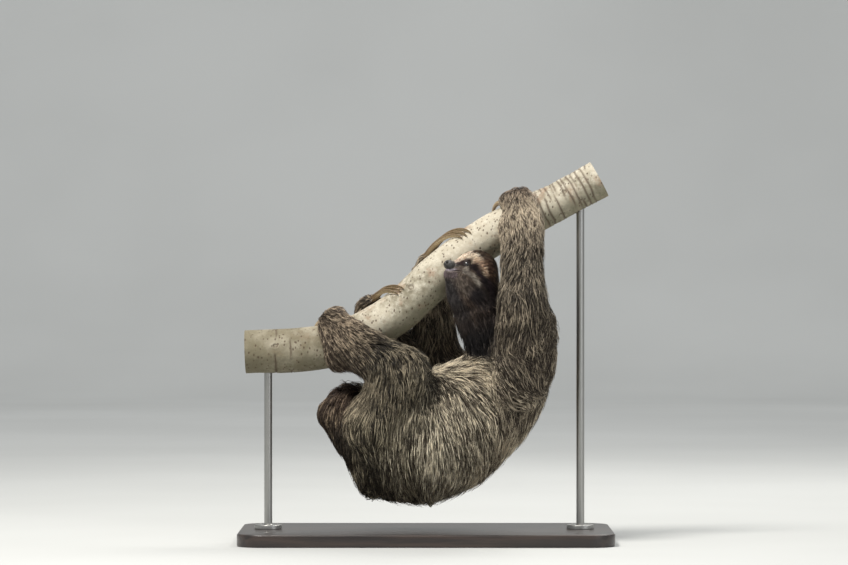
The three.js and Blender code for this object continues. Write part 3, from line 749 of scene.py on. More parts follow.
def refine_face(points, faces):
    """Finer triangles on the head, finer again on the face, and finest round the eyes."""
    for centre, reach in FINER:
        points, faces = refine(points, faces, near_place(points[faces].mean(1), centre, reach))
        faired = Net(faces, len(points)).fair(points, FAIR_FACE)
        points = np.where(near_place(points, centre, reach)[:, None], faired, points)
    return points, faces


def mirrored(local):
    """Places in the head's frame with both sides brought to its left."""
    return np.stack([local[:, 0], np.abs(local[:, 1]), local[:, 2]], axis=1)


# ---- eyes, nose and mouth

# The way an eye looks, its slit from the inner corner to the outer one, and the slit's half sizes.
GAZE = unit(np.array([0.5, 0.86, 0.06]))
SLIT = unit(np.cross(np.cross(GAZE, [0.66, -0.7, -0.28]), GAZE))
SLIT_UP = np.cross(SLIT, GAZE)
OPENING = {"long": 4.7, "high": 3.5}
# A lid's radii in millimetres, and the angles past its rim where each one holds.
LID = {"inside": 5.1, "rim": 6.9, "full": 7.5, "outside": 8.1}
LID_ANGLES = {"margin": 0.12, "swell": 0.3, "end": 1.0}
LID_WITHIN = 16  # the lids reach no further from the eye's centre
CORNEA = 0.05  # how far the eye bulges in front, as a share of its radius
EYE_ROWS, EYE_SIDES = 32, 48
NOSE_ROWS, NOSE_SIDES = 64, 96

# The mouth's line: how far forward and how high, from its corner to the front of the lips.
MOUTH = ((18, -4.4), (29, -5.6), (35, -6.6), (41, -10.4), (52, -12.4))
NOSTRIL = unit(np.array([7.9, 6.0, 0.8]) / NOSE_RADII)


def lid_reach(local):
    """Each place's angle outside the slit's rim, its radius and its direction, all from the eye."""
    from_eye = mirrored(local) - EYES_AT
    radius = np.linalg.norm(from_eye, axis=1)
    way = from_eye / np.maximum(radius, 1e-6)[:, None]
    along, above, ahead = way @ SLIT, way @ SLIT_UP, way @ GAZE
    turn = np.arctan2(above, along)
    rim = 1 / np.hypot(np.cos(turn) / OPENING["long"], np.sin(turn) / OPENING["high"])
    return np.arccos(np.clip(ahead, -1, 1)) - np.arcsin(rim / EYE_RADIUS), radius, way


def mouth_height(local):
    forward, height = np.array(MOUTH).T
    return local[:, 2] - np.interp(local[:, 0], forward, height)


# Swellings and hollows: centre, width and height, in millimetres.
FORMS = (
    ((22, 13, 20), 7, 1.3),  # brow
    ((31, 9, 9), 6, -1.1),  # hollow before the eye
    ((10, 34, -4), 11, 1.4),  # cheek
    ((4, 34, 20), 9, -1.2),  # temple
    ((40, 0, 10), 6, -0.8),  # bridge behind the nose
)
# Where the skin hugs the nose pad and where it dives under it: how far forward, and as a share of
# the pad's own size.
PAD_AT, PAD_SHARE = (41.5, 44.5), (1.07, 0.55)


def sculpt_face(points, faces):
    """Presses the mouth in, raises lips and brows, beds the nose and folds the lids over the eyes."""
    local = head.into(points)
    normal = normals_of(points, faces) @ head.axes.T
    sided = mirrored(local)
    over_mouth = mouth_height(local)
    front = smooth(local[:, 0], 19, 27)
    push = -1.9 * bell(over_mouth, 0.9) * front
    push += (0.8 * bell(over_mouth - 2.6, 1.5) + 0.6 * bell(over_mouth + 2.4, 1.6)) * front
    for centre, width, height in FORMS:
        push += height * bell(np.linalg.norm(sided - centre, axis=1), width)
    return head.out(fold_lids(bed_nose(local + normal * push[:, None])))


def bed_nose(local):
    in_nose = (local - NOSE_AT) / NOSE_RADII
    size = np.linalg.norm(in_nose, axis=1)
    bed = smooth(local[:, 0], 32, 38) * (1 - smooth(size, 1.25, 1.7))
    hug = np.interp(local[:, 0], PAD_AT, PAD_SHARE)[:, None]
    bedded = NOSE_AT + in_nose / np.maximum(size, 1e-6)[:, None] * hug * NOSE_RADII
    return local + bed[:, None] * (bedded - local)


def fold_lids(local):
    reach, radius, way = lid_reach(local)
    swell, end = LID_ANGLES["swell"], LID_ANGLES["end"]
    target = np.interp(reach, [-LID_ANGLES["margin"], 0, swell, end], list(LID.values()))
    share = 1 - smooth(reach, swell, end)
    moved = EYES_AT + way * (radius + share * (target - radius))[:, None]
    moved[:, 1] *= np.sign(local[:, 1])
    return np.where((radius < LID_WITHIN)[:, None], moved, local)


def make_eyes():
    material = eye_material()
    tilts = tilts_of(EYE_ROWS)
    cornea = 1 + CORNEA * smooth(np.cos(tilts), 0.78, 0.95)[:, None, None]
    for name, side in (("eye_left", 1), ("eye_right", -1)):
        axis, centre = GAZE * [1, side, 1], EYES_AT * [1, side, 1]
        way = ball(axis, unit(np.cross(axis, [0, 0, 1])), tilts, EYE_SIDES)
        points, faces = loft(centre + way * cornea * EYE_RADIUS)
        gaze = unit(points - centre) @ axis
        new_piece(name + "_ball", head.out(points), faces, material, "eye", [name], gaze=gaze)


def make_nose():
    way = ball([1, 0, 0], np.array([0, 1, 0]), tilts_of(NOSE_ROWS), NOSE_SIDES)
    flat = way.reshape(-1, 3)
    angle = np.arccos(np.clip(mirrored(flat) @ NOSTRIL, -1, 1))
    # hole marks the nostrils: dented in here, and painted near-black in the nose material as painted
    # shade.
    hole = 1 - smooth(angle, 0.16, 0.3)
    height = -3.0 * hole + 0.6 * bell(angle - 0.38, 0.12)
    height -= 0.9 * bell(flat[:, 1] * NOSE_RADII[1], 1.0) * smooth(flat[:, 0], 0.2, 0.6)
    height += 0.25 * value_noise(flat, 0.25, 5)
    local = NOSE_AT + flat * (NOSE_RADII + height[:, None])
    points, faces = loft(local.reshape(way.shape))
    hole = np.concatenate([hole, [0, 0]])
    new_piece("nose_pad", head.out(points), faces, nose_material(), "nose", ["nose"], hole=hole)


# ---- markings

# Painted in order over the head, each as a line of places with a radius and a soft edge, and its
# deep and light colours. Millimetres in the head's frame, mirrored to both sides.
MARKS = {
    "crown": (
        ((14, 0, 40), (4, 14, 42), (-14, 20, 40), (-30, 16, 30)),
        13, 8, (42, 34, 29), (92, 75, 60),
    ),
    "temple": (((-1, 36, 24), (-8, 38, 16), (-15, 40, 8)), 8, 6, (84, 62, 52), (156, 126, 104)),
    "jaw": (
        ((40, 0, -20), (30, 14, -22), (14, 30, -26), (0, 38, -28)),
        13, 9, (84, 74, 67), (138, 125, 113),
    ),
    "throat": (((38, 0, -44), (20, 0, -54), (2, 0, -62)), 20, 12, (50, 47, 48), (90, 85, 84)),
    "under_ear": (((-4, 38, -34), (-18, 36, -36), (-28, 28, -30)), 12, 9, (38, 34, 37), (66, 60, 62)),
    "chin": (((50, 0, -17), (42, 6, -18), (34, 14, -14)), 4.5, 4, (92, 80, 82), (134, 118, 120)),
    "snout": (((44, 8, 3), (37, 13, 2), (32, 16, 1)), 6, 3, (56, 50, 46), (104, 96, 86)),
    "flews": (((40, 11, -6), (33, 18, -2), (28, 23, -2)), 3.6, 3, (84, 72, 66), (136, 120, 108)),
    "bridge": (((38, 0, 12), (31, 0, 18), (21, 0, 30)), 7, 4, (196, 172, 152), (248, 233, 212)),
    "bridge_side": (((38, 6, 9), (31, 6, 16), (26, 12, 22)), 3.6, 3, (190, 164, 146), (246, 228, 208)),
    "band": (
        ((28, 6, 20), (24, 12, 24), (19, 19, 28), (13, 29, 24)),
        6.2, 3, (216, 192, 168), (252, 239, 218),
    ),
    "band_end": (
        ((13, 29, 24), (7, 36, 17), (0, 40, 11), (-4, 42, 4)),
        4.4, 3, (188, 158, 134), (240, 216, 188),
    ),
    "cheek": (
        ((27, 26, -3), (18, 36, -6), (9, 40, -10), (0, 42, -15)),
        3.4, 3, (140, 130, 120), (200, 190, 176),
    ),
    # Painted shadow: a dark line under the nose pad.
    "painted_shadow_under_nose": (((51, 0, -8), (46, 7, -8), (39, 12, -6)), 1.6, 1.4, (32, 28, 30), (50, 44, 46)),
    "eye_patch": (((31, 14, 9.5), (24, 23, 10), (15, 32, 10)), 6.2, 2, (44, 29, 30), (76, 54, 54)),
    "stripe": (
        ((21, 28, 6), (15, 34, 4), (7, 39, 1), (-5, 42, -6)),
        4.2, 2.2, (36, 27, 29), (62, 48, 52),
    ),
    "stripe_end": (((-8, 41, -8), (-20, 40, -12), (-30, 34, -22)), 8, 5, (38, 30, 34), (66, 55, 58)),
}
# Naked skin: its deep and light colours.
MUZZLE = ((46, 43, 42), (82, 77, 73))
LIP = ((132, 122, 132), (184, 176, 186))
MOUTH_SHADE = ((38, 28, 34), (52, 40, 46))
LID_SKIN = ((26, 19, 18), (44, 34, 32))
NEAR_HEAD, NEAR_EYE = 75, 12  # no naked skin further out than this


def paint_over(deep, light, share, dark, pale):
    """The deep and light colours, turned by a share at each place towards two others."""
    share = share[:, None]
    return deep + share * (linear(dark) - deep), light + share * (linear(pale) - light)


def mark_head(outer, on_head, deep, light):
    """Paints the head's markings. `outer` is where each place lies on the coat's outer face."""
    local = head.into(outer)
    wobble = 1.2 * value_noise(local, 7.0, 31)
    sided = mirrored(local)
    for line, radius, edge, dark, pale in MARKS.values():
        far = beside_line(sided, line)[0] + wobble
        share = on_head * (1 - smooth(far, radius - edge / 2, radius + edge))
        deep, light = paint_over(deep, light, share, dark, pale)
    return deep, light


def mark_bare(points, deep, light):
    """Paints the naked skin of muzzle, lips and lids, and finds how bare each place is."""
    local = head.into(points)
    over_mouth = mouth_height(local)
    lip = bell(over_mouth - 2.2, 1.5) * smooth(local[:, 0], 33, 38)
    groove = bell(over_mouth, 1.1) * smooth(local[:, 0], 19, 26)
    lips = bell(over_mouth - 0.8, 2.4) * smooth(local[:, 0], 27, 33)
    reach, radius, _ = lid_reach(local)
    lid = (1 - smooth(reach, 0.2, 0.42)) * (radius < NEAR_EYE)
    size = np.linalg.norm((local - NOSE_AT) / NOSE_RADII, axis=1)
    nose = 1 - smooth(size, 1.12, 1.4)
    near = np.linalg.norm(local, axis=1) < NEAR_HEAD
    for share, skin in ((nose, MUZZLE), (lip, LIP), (groove, MOUTH_SHADE), (lid, LID_SKIN)):
        deep, light = paint_over(deep, light, share * near, *skin)
    return deep, light, np.clip(np.maximum.reduce([lip, groove, lid, nose, lips]), 0, 1) * near


# ---- lie of the coat

# The line of the spine, through the middles of these parts, from tail to head.
SPINE_NODES = ("tail", "pelvis", "belly", "chest", "neck", "head")
# Each limb's hair runs back from its far part, down to the part nearest the trunk.
LIMBS = {"arm": ("hand", "forearm", "upper_arm"), "leg": ("foot", "shin", "thigh")}
GRAVITY_SHARE = {"trunk": 0.45, "arm": 0.5, "leg": 0.35, "head": 0.1, "neck": 1.2}
PARTING = 0.9  # how strongly the belly's hair parts to both sides
OUT_OF_FACE = 0.6  # how far the head's hair turns back from the nose's direction


def flow_for(points, normals, node):
    """Which way the hair lies at each point of the skin, before it is smoothed."""
    flow = np.zeros((len(points), 3))
    names = np.array(FILLED)[node]
    kinds = kinds_at(points, node)
    run = beside_line(points, [middle(name) for name in SPINE_NODES])[1]

    trunk = np.isin(kinds, ("tail", "pelvis", "belly", "chest"))
    backward = np.stack([run[:, 2], np.zeros(len(run)), -run[:, 0]], axis=1)  # from belly to back
    ventral = np.clip(-(normals * backward).sum(1), 0, 1)[:, None]
    parting = np.sign(points[:, 1])[:, None] * ventral * np.array([0.0, PARTING, 0.0])
    fall = DOWN - ventral * (run @ DOWN)[:, None] * run
    flow[trunk] = (backward + parting + GRAVITY_SHARE["trunk"] * fall)[trunk]

    for limb, parts in LIMBS.items():
        for suffix in ("left", "right"):
            line = [middle(f"{part}_{suffix}") for part in parts]
            here = np.isin(names, [f"{part}_{suffix}" for part in parts])
            flow[here] = (beside_line(points, line)[1] + GRAVITY_SHARE[limb] * DOWN)[here]

    forward = head.axes[0]
    from_nose = unit(points - middle("nose"))
    on_head = kinds == "head"
    flow[on_head] = (from_nose - OUT_OF_FACE * forward + GRAVITY_SHARE["head"] * DOWN)[on_head]
    flow[kinds == "neck"] = -0.5 * forward + GRAVITY_SHARE["neck"] * DOWN
    return tangent(flow, normals)


# ---- the skin's map

TILES_ACROSS, TILES_UP = 5, 4
TILE_FILL = 0.9
PATCH = 0.003  # how wide a lock's patch is on the OFBake map


class Unwrap:
    """Each part of the skin spread round its own long axis into a tile of the OFBake map."""

    def __init__(self):
        self.centre = np.array([middle(name) for name in FILLED])
        self.axes = np.array([self.long_axes(name) for name in FILLED])

    @staticmethod
    def long_axes(name):
        points = solid_of(name)[0]
        spread = np.linalg.eigh(np.cov((points - points.mean(0)).T))[1]
        return spread.T[::-1]

    def places(self, points, node):
        """Shares round and along each part; the eyes and nose count as the head."""
        node = np.where(node < len(FLESH), node, FLESH.index("head"))
        way = unit(np.einsum("nij,nj->ni", self.axes[node], points - self.centre[node]))
        round_it = np.arctan2(way[:, 1], way[:, 2]) / (2 * math.pi) + 0.5
        along_it = np.arccos(np.clip(way[:, 0], -1, 1)) / math.pi
        return np.stack([round_it, along_it], axis=1), node

    def in_tile(self, share, node):
        corner = np.stack([node % TILES_ACROSS, node // TILES_ACROSS], axis=1)
        return (corner + (1 - TILE_FILL) / 2 + TILE_FILL * share) / [TILES_ACROSS, TILES_UP]

    def of_faces(self, points, faces, node):
        """A place for each corner of each face, with faces across a chart's edge kept whole."""
        owner = np.repeat(node, 3)
        share, owner = self.places(points[faces].reshape(-1, 3), owner)
        turns = share[:, 0].reshape(-1, 3)
        wraps = turns.max(1) - turns.min(1) > 0.5
        turns[wraps] += turns[wraps] < 0.5
        share[:, 0] = turns.ravel()
        return self.in_tile(share, owner)


# ---- the coated skin

EVEN_SKIN_DEPTH, EVEN_FLOW, EVEN_KINDS = 8, 50, 60  # how many times each is evened out
TONE_DRIFT = ((0.14, 75 * MM, 7), (0.1, 30 * MM, 8))  # paler and darker hair: height, size, seed
# Patches of another tone, three of them painted shade: centre, how far they reach, and their deep and
# light colours.
PATCHES = (
    ((-0.135, 0, 0.262), 0.042, (74, 59, 50), (178, 154, 130)),  # redder hair over the tail
    ((0.165, -0.02, 0.618), 0.026, (56, 47, 41), (126, 108, 92)),  # the top of the left hand
    # Painted shade: these two patches darken the bottom of the body, where the back's fringe hangs.
    ((-0.02, 0, 0.09), 0.05, (44, 39, 31), (168, 156, 130)),  # the hanging fringe of the back
    ((-0.09, 0, 0.085), 0.05, (44, 39, 31), (168, 156, 130)),
    # Painted shade in the crease behind the left knee.
    ((-0.06, -0.09, 0.27), 0.035, (38, 34, 29), (150, 138, 116)),  # behind the left knee
)


class Skin:
    """The skin's surface with what the coat needs to know at each face."""

    def __init__(self, coat):
        points, faces = make_skin_shape(coat)
        normals = normals_of(points, faces)
        net = Net(faces, len(points))
        outer = nearest(tree_of(coat["points"], coat["faces"]), points)[0]
        depth = net.blur(np.linalg.norm(outer - points, axis=1), EVEN_SKIN_DEPTH)
        node = coat["owner"][nearest(coat["solids"], points)[1]]
        flow = flow_for(points, normals, node)
        for _ in range(EVEN_FLOW):
            flow = tangent(flow + net.mean(flow), normals)

        kinds = kinds_at(points, node)
        table = np.array([HAIR[kind][1:] for kind in kinds], float)
        table[:, 0] = np.where(kinds == "head", self.face_length(points), table[:, 0])
        colours = linear([COLOURS[kind] for kind in kinds]).reshape(-1, 6)
        on_head = (kinds == "head").astype(float)[:, None]
        known = net.blur(np.concatenate([table, colours, on_head], axis=1), EVEN_KINDS)
        numbers, deep, light, on_head = np.split(known, [7, 10, 13], axis=1)
        on_head = on_head[:, 0]
        deep, light = mark_head(points + normals * depth[:, None], on_head, deep, light)

        points = sculpt_face(points, faces)
        normals = normals_of(points, faces)
        deep, light, bare = mark_bare(points, deep, light)
        pale = numbers[:, NUMBERS.index("pale")]
        pale += noises(points, TONE_DRIFT) * (1 - on_head)
        for centre, width, dark, bright in PATCHES:
            share = bell(np.linalg.norm((points - centre) * [1, 0.6, 1], axis=1), width)
            deep, light = paint_over(deep, light, share, dark, bright)

        self.points, self.faces = points, faces
        self.fields = {"deep": deep, "light": light, "pale": pale, "bare": bare}
        corners = points[faces]
        across, along = corners[:, 1] - corners[:, 0], corners[:, 2] - corners[:, 0]
        self.area = np.linalg.norm(np.cross(across, along), axis=1) / 2
        self.normal = unit(normals[faces].sum(1))
        self.flow = tangent(flow[faces].sum(1), self.normal)
        self.node = node[faces[:, 0]]
        self.number = dict(zip(NUMBERS, numbers[faces].mean(1).T))
        parts = (depth, on_head, bare, deep, light)
        self.depth, self.on_head, self.bare, self.deep, self.light = (
            values[faces].mean(1) for values in parts
        )
        self.tree = tree_of(points, faces)

    @staticmethod
    def face_length(points):
        """Hair shortens towards the nose."""
        from_nose = np.linalg.norm(head.into(points) - NOSE_AT, axis=1)
        return 3.0 + 9.0 * smooth(from_nose, 12, 80) + 12.0 * smooth(from_nose, 70, 105)


def make_skin_piece(skin, unwrap):
    mesh = new_piece(
        "skin", skin.points, skin.faces, skin_material(), "coat", FLESH, **skin.fields
    )
    add_map(mesh, unwrap.of_faces(skin.points, skin.faces, skin.node))


# ---- locks of hair

ROOT_SUNK = 1.0 * MM
DROOP = 0.9  # how far locks under the body turn down towards their tips
HANG = 5 * MM  # and how far they may leave the coat's face
WISP_PULL = 1.3  # the power of the pull along a lock's length
# How locks stray: noises over the body, each with its height, size and seed, and chance for each.
SWIRL = ((0.3, 50 * MM, 1), (0.16, 19 * MM, 2))
CURL = ((0.12, 24 * MM, 3),)
REACH = ((0.12, 28 * MM, 4),)
STRAY = 0.1
FLYAWAY = {"above": 0.92, "out": 0.24}  # a few locks stand out past the others
STRAND = 3.0 * MM  # neighbouring locks have like tones over about this distance
TONE_SHARES = {"wisp": 0.26, "strand": 0.5, "lock": 0.24}
TAPERS = {2: (0.9, 0.8), 3: (0.75, 1.0, 0.75)}  # the widths of a lock's rings
MOST_TRIANGLES = 190_000
FACE_ROOTS = 0.3  # how much less the roots of short hair are shaded
BODY_RINGS, HEAD_RINGS = 3, 2
GROUPS = {
    "trunk": ("tail", "pelvis", "belly", "chest"),
    "arms": ("upper_arm", "forearm", "hand"),
    "legs": ("thigh", "shin", "foot"),
    "neck": ("neck",),
    "head": ("head",),
}


def scatter(skin, weights):
    """Places on the skin, as many as the weights add up to, and their faces."""
    total = np.cumsum(weights)
    count = int(total[-1])
    picks = (np.arange(count) + random.random(count)) / count * total[-1]
    face = np.minimum(np.searchsorted(total, picks), len(total) - 1)
    u, v = random.random((2, count))
    over = u + v > 1
    u[over], v[over] = 1 - u[over], 1 - v[over]
    corners = skin.points[skin.faces[face]]
    place = corners[:, 0] + u[:, None] * (corners[:, 1] - corners[:, 0])
    return place + v[:, None] * (corners[:, 2] - corners[:, 0]), face


def walk(skin, roots, face, habit, steps):
    """Paths that leave the skin at their roots, follow the lie of the coat and rise to its depth."""
    normal = skin.normal[face]
    paths = [roots - normal * ROOT_SUNK]
    normals = [normal]
    here = roots
    for step in range(1, steps + 1):
        share = step / steps
        ahead = turned(skin.flow[face], normal, habit["angle"] + habit["curl"] * step)
        under = np.clip(-normal[:, 2], 0, 1)
        way = unit(ahead + (DROOP * under * share)[:, None] * DOWN)
        place = here + way * (habit["length"] / steps)[:, None]
        base, face = nearest(skin.tree, place)
        normal = skin.normal[face]
        away = np.einsum("ij,ij->i", place - base, normal)
        deep = skin.depth[face] * habit["reach"]
        lift = deep * (1 - (1 - share) ** habit["rise"])
        hang = HANG * under * share * habit["loose"]
        height = np.clip(away, lift, np.maximum(deep, lift) + hang)
        here = base + normal * height[:, None]
        paths.append(here)
        normals.append(normal)
    return np.stack(paths, axis=1), np.stack(normals, axis=1)


def habits(skin, roots, face):
    """How each lock differs from the next: its length, its lean, its curl and how it rises."""
    count = len(roots)
    mess = skin.number["mess"][face]
    loose = random.random(count)
    return {
        "length": skin.number["length"][face] * MM * (0.7 + 0.55 * random.random(count)),
        "angle": mess * (noises(roots, SWIRL) + STRAY * random.standard_normal(count)),
        "curl": mess * (STRAY * random.standard_normal(count) + noises(roots, CURL)),
        "rise": 1.3 + 3.4 * random.random(count),
        "reach": 0.93 + noises(roots, REACH) + FLYAWAY["out"] * (loose > FLYAWAY["above"]),
        "loose": loose,
    }


def gather(paths, roots, wisp_paths, wisp_roots, pull):
    """Draws each lock's path towards the path of its wisp, most at the tip."""
    tree = KDTree(len(wisp_roots))
    for i, place in enumerate(wisp_roots.tolist()):
        tree.insert(place, i)
    tree.balance()
    wisp = np.array([tree.find(place)[1] for place in roots.tolist()])
    steps = paths.shape[1] - 1
    share = (np.arange(steps + 1) / steps) ** WISP_PULL
    pulled = (share[None, :] * pull[:, None])[:, :, None]
    return paths + pulled * (wisp_paths[wisp] - paths), wisp


def lock_points(paths, normals, width, rings):
    """Three-sided rings along each path, and a point at its tip."""
    run = np.empty_like(paths)
    run[:, 1:-1] = paths[:, 2:] - paths[:, :-2]
    run[:, 0] = paths[:, 1] - paths[:, 0]
    run[:, -1] = paths[:, -1] - paths[:, -2]
    side = unit(np.cross(run, normals))
    ridge = unit(np.cross(side, run))
    half = (width[:, None] * np.array(TAPERS[rings])[None, :])[:, :, None] / 2
    ring = paths[:, :-1]
    side, ridge = side[:, :-1], ridge[:, :-1]
    low_left = ring - side * half - ridge * half * 0.3
    low_right = ring + side * half - ridge * half * 0.3
    corners = [low_left, low_right, ring + ridge * half * 0.7]
    around = np.stack(corners, axis=2).reshape(len(paths), -1, 3)
    return np.concatenate([around, paths[:, -1:]], axis=1)


def lock_faces(rings):
    """A lock's triangles: its foot, its three sides and its tip."""
    faces = [(0, 1, 2)]
    for ring in range(rings - 1):
        for k in range(3):
            a, b = 3 * ring + k, 3 * ring + (k + 1) % 3
            faces += [(a, a + 3, b), (b, a + 3, b + 3)]
    last = 3 * (rings - 1)
    for k in range(3):
        faces.append((last + k, 3 * rings, last + (k + 1) % 3))
    return np.array(faces)


def grow(skin, chosen, rings):
    """Every lock on the chosen faces: its points, its root's place and face, and its tones."""
    bare = 1 - smooth(skin.bare, 0.25, 0.6)
    area = np.where(chosen, skin.area * bare, 0)
    root, face = scatter(skin, area * skin.number["locks"] * 1e4)
    wisp_root, wisp_face = scatter(skin, area / (skin.number["wisp"] * MM) ** 2)
    wisp_paths = walk(skin, wisp_root, wisp_face, habits(skin, wisp_root, wisp_face), rings)[0]
    paths, normals = walk(skin, root, face, habits(skin, root, face), rings)
    count = len(root)
    pull = skin.number["gather"][face] * random.random(count) ** 0.5
    paths, wisp = gather(paths, root, wisp_paths, wisp_root, pull)
    width = skin.number["width"][face] * MM * (0.65 + 0.7 * random.random(count))
    strand = np.clip(0.5 + 0.8 * value_noise(root, STRAND, 6), 0, 1)
    tone = TONE_SHARES["wisp"] * random.random(len(wisp_root))[wisp]
    tone = tone + TONE_SHARES["strand"] * strand + TONE_SHARES["lock"] * random.random(count)
    points = lock_points(paths, normals, width, rings)
    return {"points": points, "rings": rings, "root": root, "face": face, "tone": tone}


def make_locks(name, skin, unwrap, locks, chosen, material):
    points, face = locks["points"][chosen], locks["face"][chosen]
    count, per_lock = points.shape[:2]
    rings = locks["rings"]
    template = lock_faces(rings)
    faces = (np.arange(count) * per_lock)[:, None, None] + template[None]
    # along runs from root to tip; the hair material darkens the roots with painted shade from it.
    along = np.concatenate([np.repeat(np.arange(rings) / rings, 3), [1]])
    slot = "face" if skin.on_head[face].mean() > 0.5 else "coat"
    lit_roots = FACE_ROOTS if slot == "face" else 0
    mesh = new_piece(
        name, points.reshape(-1, 3), faces.reshape(-1, 3), material, slot,
        along=np.tile(lit_roots + (1 - lit_roots) * along, count),
        wisp=np.repeat(locks["tone"][chosen], per_lock),
        pale=np.repeat(skin.number["pale"][face], per_lock),
        deep=np.repeat(skin.deep[face], per_lock, axis=0),
        light=np.repeat(skin.light[face], per_lock, axis=0),
    )
    root_at = unwrap.in_tile(*unwrap.places(locks["root"][chosen], skin.node[face]))
    step = np.concatenate([np.tile([-0.4, 0.4, 0.0], rings), [0]])
    patch = np.stack([step, along - 0.5], axis=1) * PATCH
    spots = root_at[:, None, :] + patch[None]
    add_map(mesh, spots[:, template].reshape(-1, 2))


def make_coat(skin, unwrap):
    material = hair_material()
    kinds = np.array(KINDS)[skin.node]
    on_face = kinds == "head"
    for locks in (grow(skin, ~on_face, BODY_RINGS), grow(skin, on_face, HEAD_RINGS)):
        lock_kinds = kinds[locks["face"]]
        for group, members in GROUPS.items():
            numbers = np.nonzero(np.isin(lock_kinds, members))[0]
            if not len(numbers):
                continue
            parts = math.ceil(len(numbers) * len(lock_faces(locks["rings"])) / MOST_TRIANGLES)
            for part, chosen in enumerate(np.array_split(numbers, parts)):
                make_locks(f"coat_{group}_{part + 1}", skin, unwrap, locks, chosen, material)


# ---- branch and claws

# The branch's centre line in the plane Y = 0, and its radius: x, z, radius, in millimetres.
BRANCH_LINE = (
    (-316, 332, 38),
    (-220, 335, 38.5),
    (-150, 347, 38),
    (-98, 371, 37),
    (-45, 405, 37),
    (24, 468, 37),
    (94, 522, 36.5),
    (164, 562, 35),
    (234, 596, 33),
    (303, 634, 34),
)
# Each grip: its side, where its knuckles and its claw tips lie along the branch, how many degrees
# the knuckles are from the bark's highest line, how far apart the claws are, and their length.
GRIPS = {
    "hand_left": (-1, 172, 140, 20, 15, 102),
    "hand_right": (1, 26, 84, 28, 7, 102),
    "foot_left": (-1, -144, -184, 8, 12, 76),
    "foot_right": (1, -70, -28, 14, 5.4, 76),
}
CLAW = {"across": 3.2, "along": 4.6, "start": 4, "base": 6.5, "arch": 6, "settle": 4, "arc": 8}
CLAW_TAPER = {"power": 2.2, "loss": 0.95}
CLAW_GROOVE = 0.1  # how deep the groove on each side is, as a share of the width
CLAW_RINGS, CLAW_SIDES = 46, 20
BARK_RINGS, BARK_SIDES = 420, 120
SPAN_STEPS = 60
GAP = 0.5  # between neighbouring claws


def branch_samples():
    """The centre line as a smooth curve through its points, and its run."""
    rows = np.array(BRANCH_LINE, float)[:, :2]
    rows = np.concatenate([[2 * rows[0] - rows[1]], rows, [2 * rows[-1] - rows[-2]]])
    t = np.linspace(0, 1, SPAN_STEPS + 1)[:, None]
    spans = []
    for p0, p1, p2, p3 in zip(rows, rows[1:], rows[2:], rows[3:]):
        d0, d1, d2 = (np.linalg.norm(b - a) ** 0.5 for a, b in ((p0, p1), (p1, p2), (p2, p3)))
        t1 = d1 * ((p1 - p0) / d0 - (p2 - p0) / (d0 + d1) + (p2 - p1) / d1)
        t2 = d1 * ((p2 - p1) / d1 - (p3 - p1) / (d1 + d2) + (p3 - p2) / d2)
        bend = (2 * p1 - 2 * p2 + t1 + t2) * t**3 + (-3 * p1 + 3 * p2 - 2 * t1 - t2) * t**2
        spans.append(bend + t1 * t + p1)
    line = np.concatenate([*(span[:-1] for span in spans[:-1]), spans[-1]])
    return line, unit(np.gradient(line, axis=0))


BRANCH, BRANCH_RUN = branch_samples()


def bark_radius(x):
    along, _, radius = np.array(BRANCH_LINE, float).T
    return np.interp(x, along, radius)


def around_branch(x, degrees, side, out):
    """Places beside the branch: angle 0 is above it and 90 is on the side of `side`."""
    run = np.stack([np.interp(x, BRANCH[:, 0], BRANCH_RUN[:, i]) for i in (0, 1)], axis=-1)
    centre = np.stack([x, np.zeros_like(x), np.interp(x, BRANCH[:, 0], BRANCH[:, 1])], axis=-1)
    up = unit(np.stack([-run[..., 1], np.zeros_like(x), run[..., 0]], axis=-1))
    radius = bark_radius(x) + out
    angle = np.radians(degrees)
    raised = centre + (np.cos(angle) * radius)[..., None] * up
    return raised + (np.sin(angle) * radius)[..., None] * np.array([0.0, side, 0.0])


def claw_line(grip, place):
    """A claw's centre line over the bark; the middle claw of the three has place 0."""
    side, knuckle, tip, top, spread, length = grip
    start = knuckle + place * spread
    cosine = np.interp(start, BRANCH[:, 0], BRANCH_RUN[:, 0])
    girth = math.sqrt(length**2 - ((tip - knuckle) / cosine) ** 2)
    t = np.linspace(0, 1, CLAW_RINGS)
    x = start + (tip - knuckle) * np.sin(t * math.pi / 2)
    swing = np.degrees(girth / (bark_radius(x) + CLAW["arc"]))
    lift = CLAW["base"] + CLAW["arch"] * np.sin(math.pi * t) * (1 - t) - CLAW["settle"] * t
    return around_branch(x, top + CLAW["start"] - t * swing, side, lift)


def spacing(first, second):
    """The least distance between two claws' centre lines, past their roots."""
    past = CLAW_RINGS // 6
    return np.linalg.norm(first[past:, None] - second[None, past:], axis=2).min()


def make_claws():
    material = claw_material()
    for name, grip in GRIPS.items():
        lines = [claw_line(grip, place) for place in (-1, 0, 1)]
        room = min(spacing(lines[0], lines[1]), spacing(lines[1], lines[2]))
        across = min(CLAW["across"], (room - GAP) / 2)
        for number, line in enumerate(lines):
            make_claw(f"claw_{name}_{number + 1}", line, across, material)


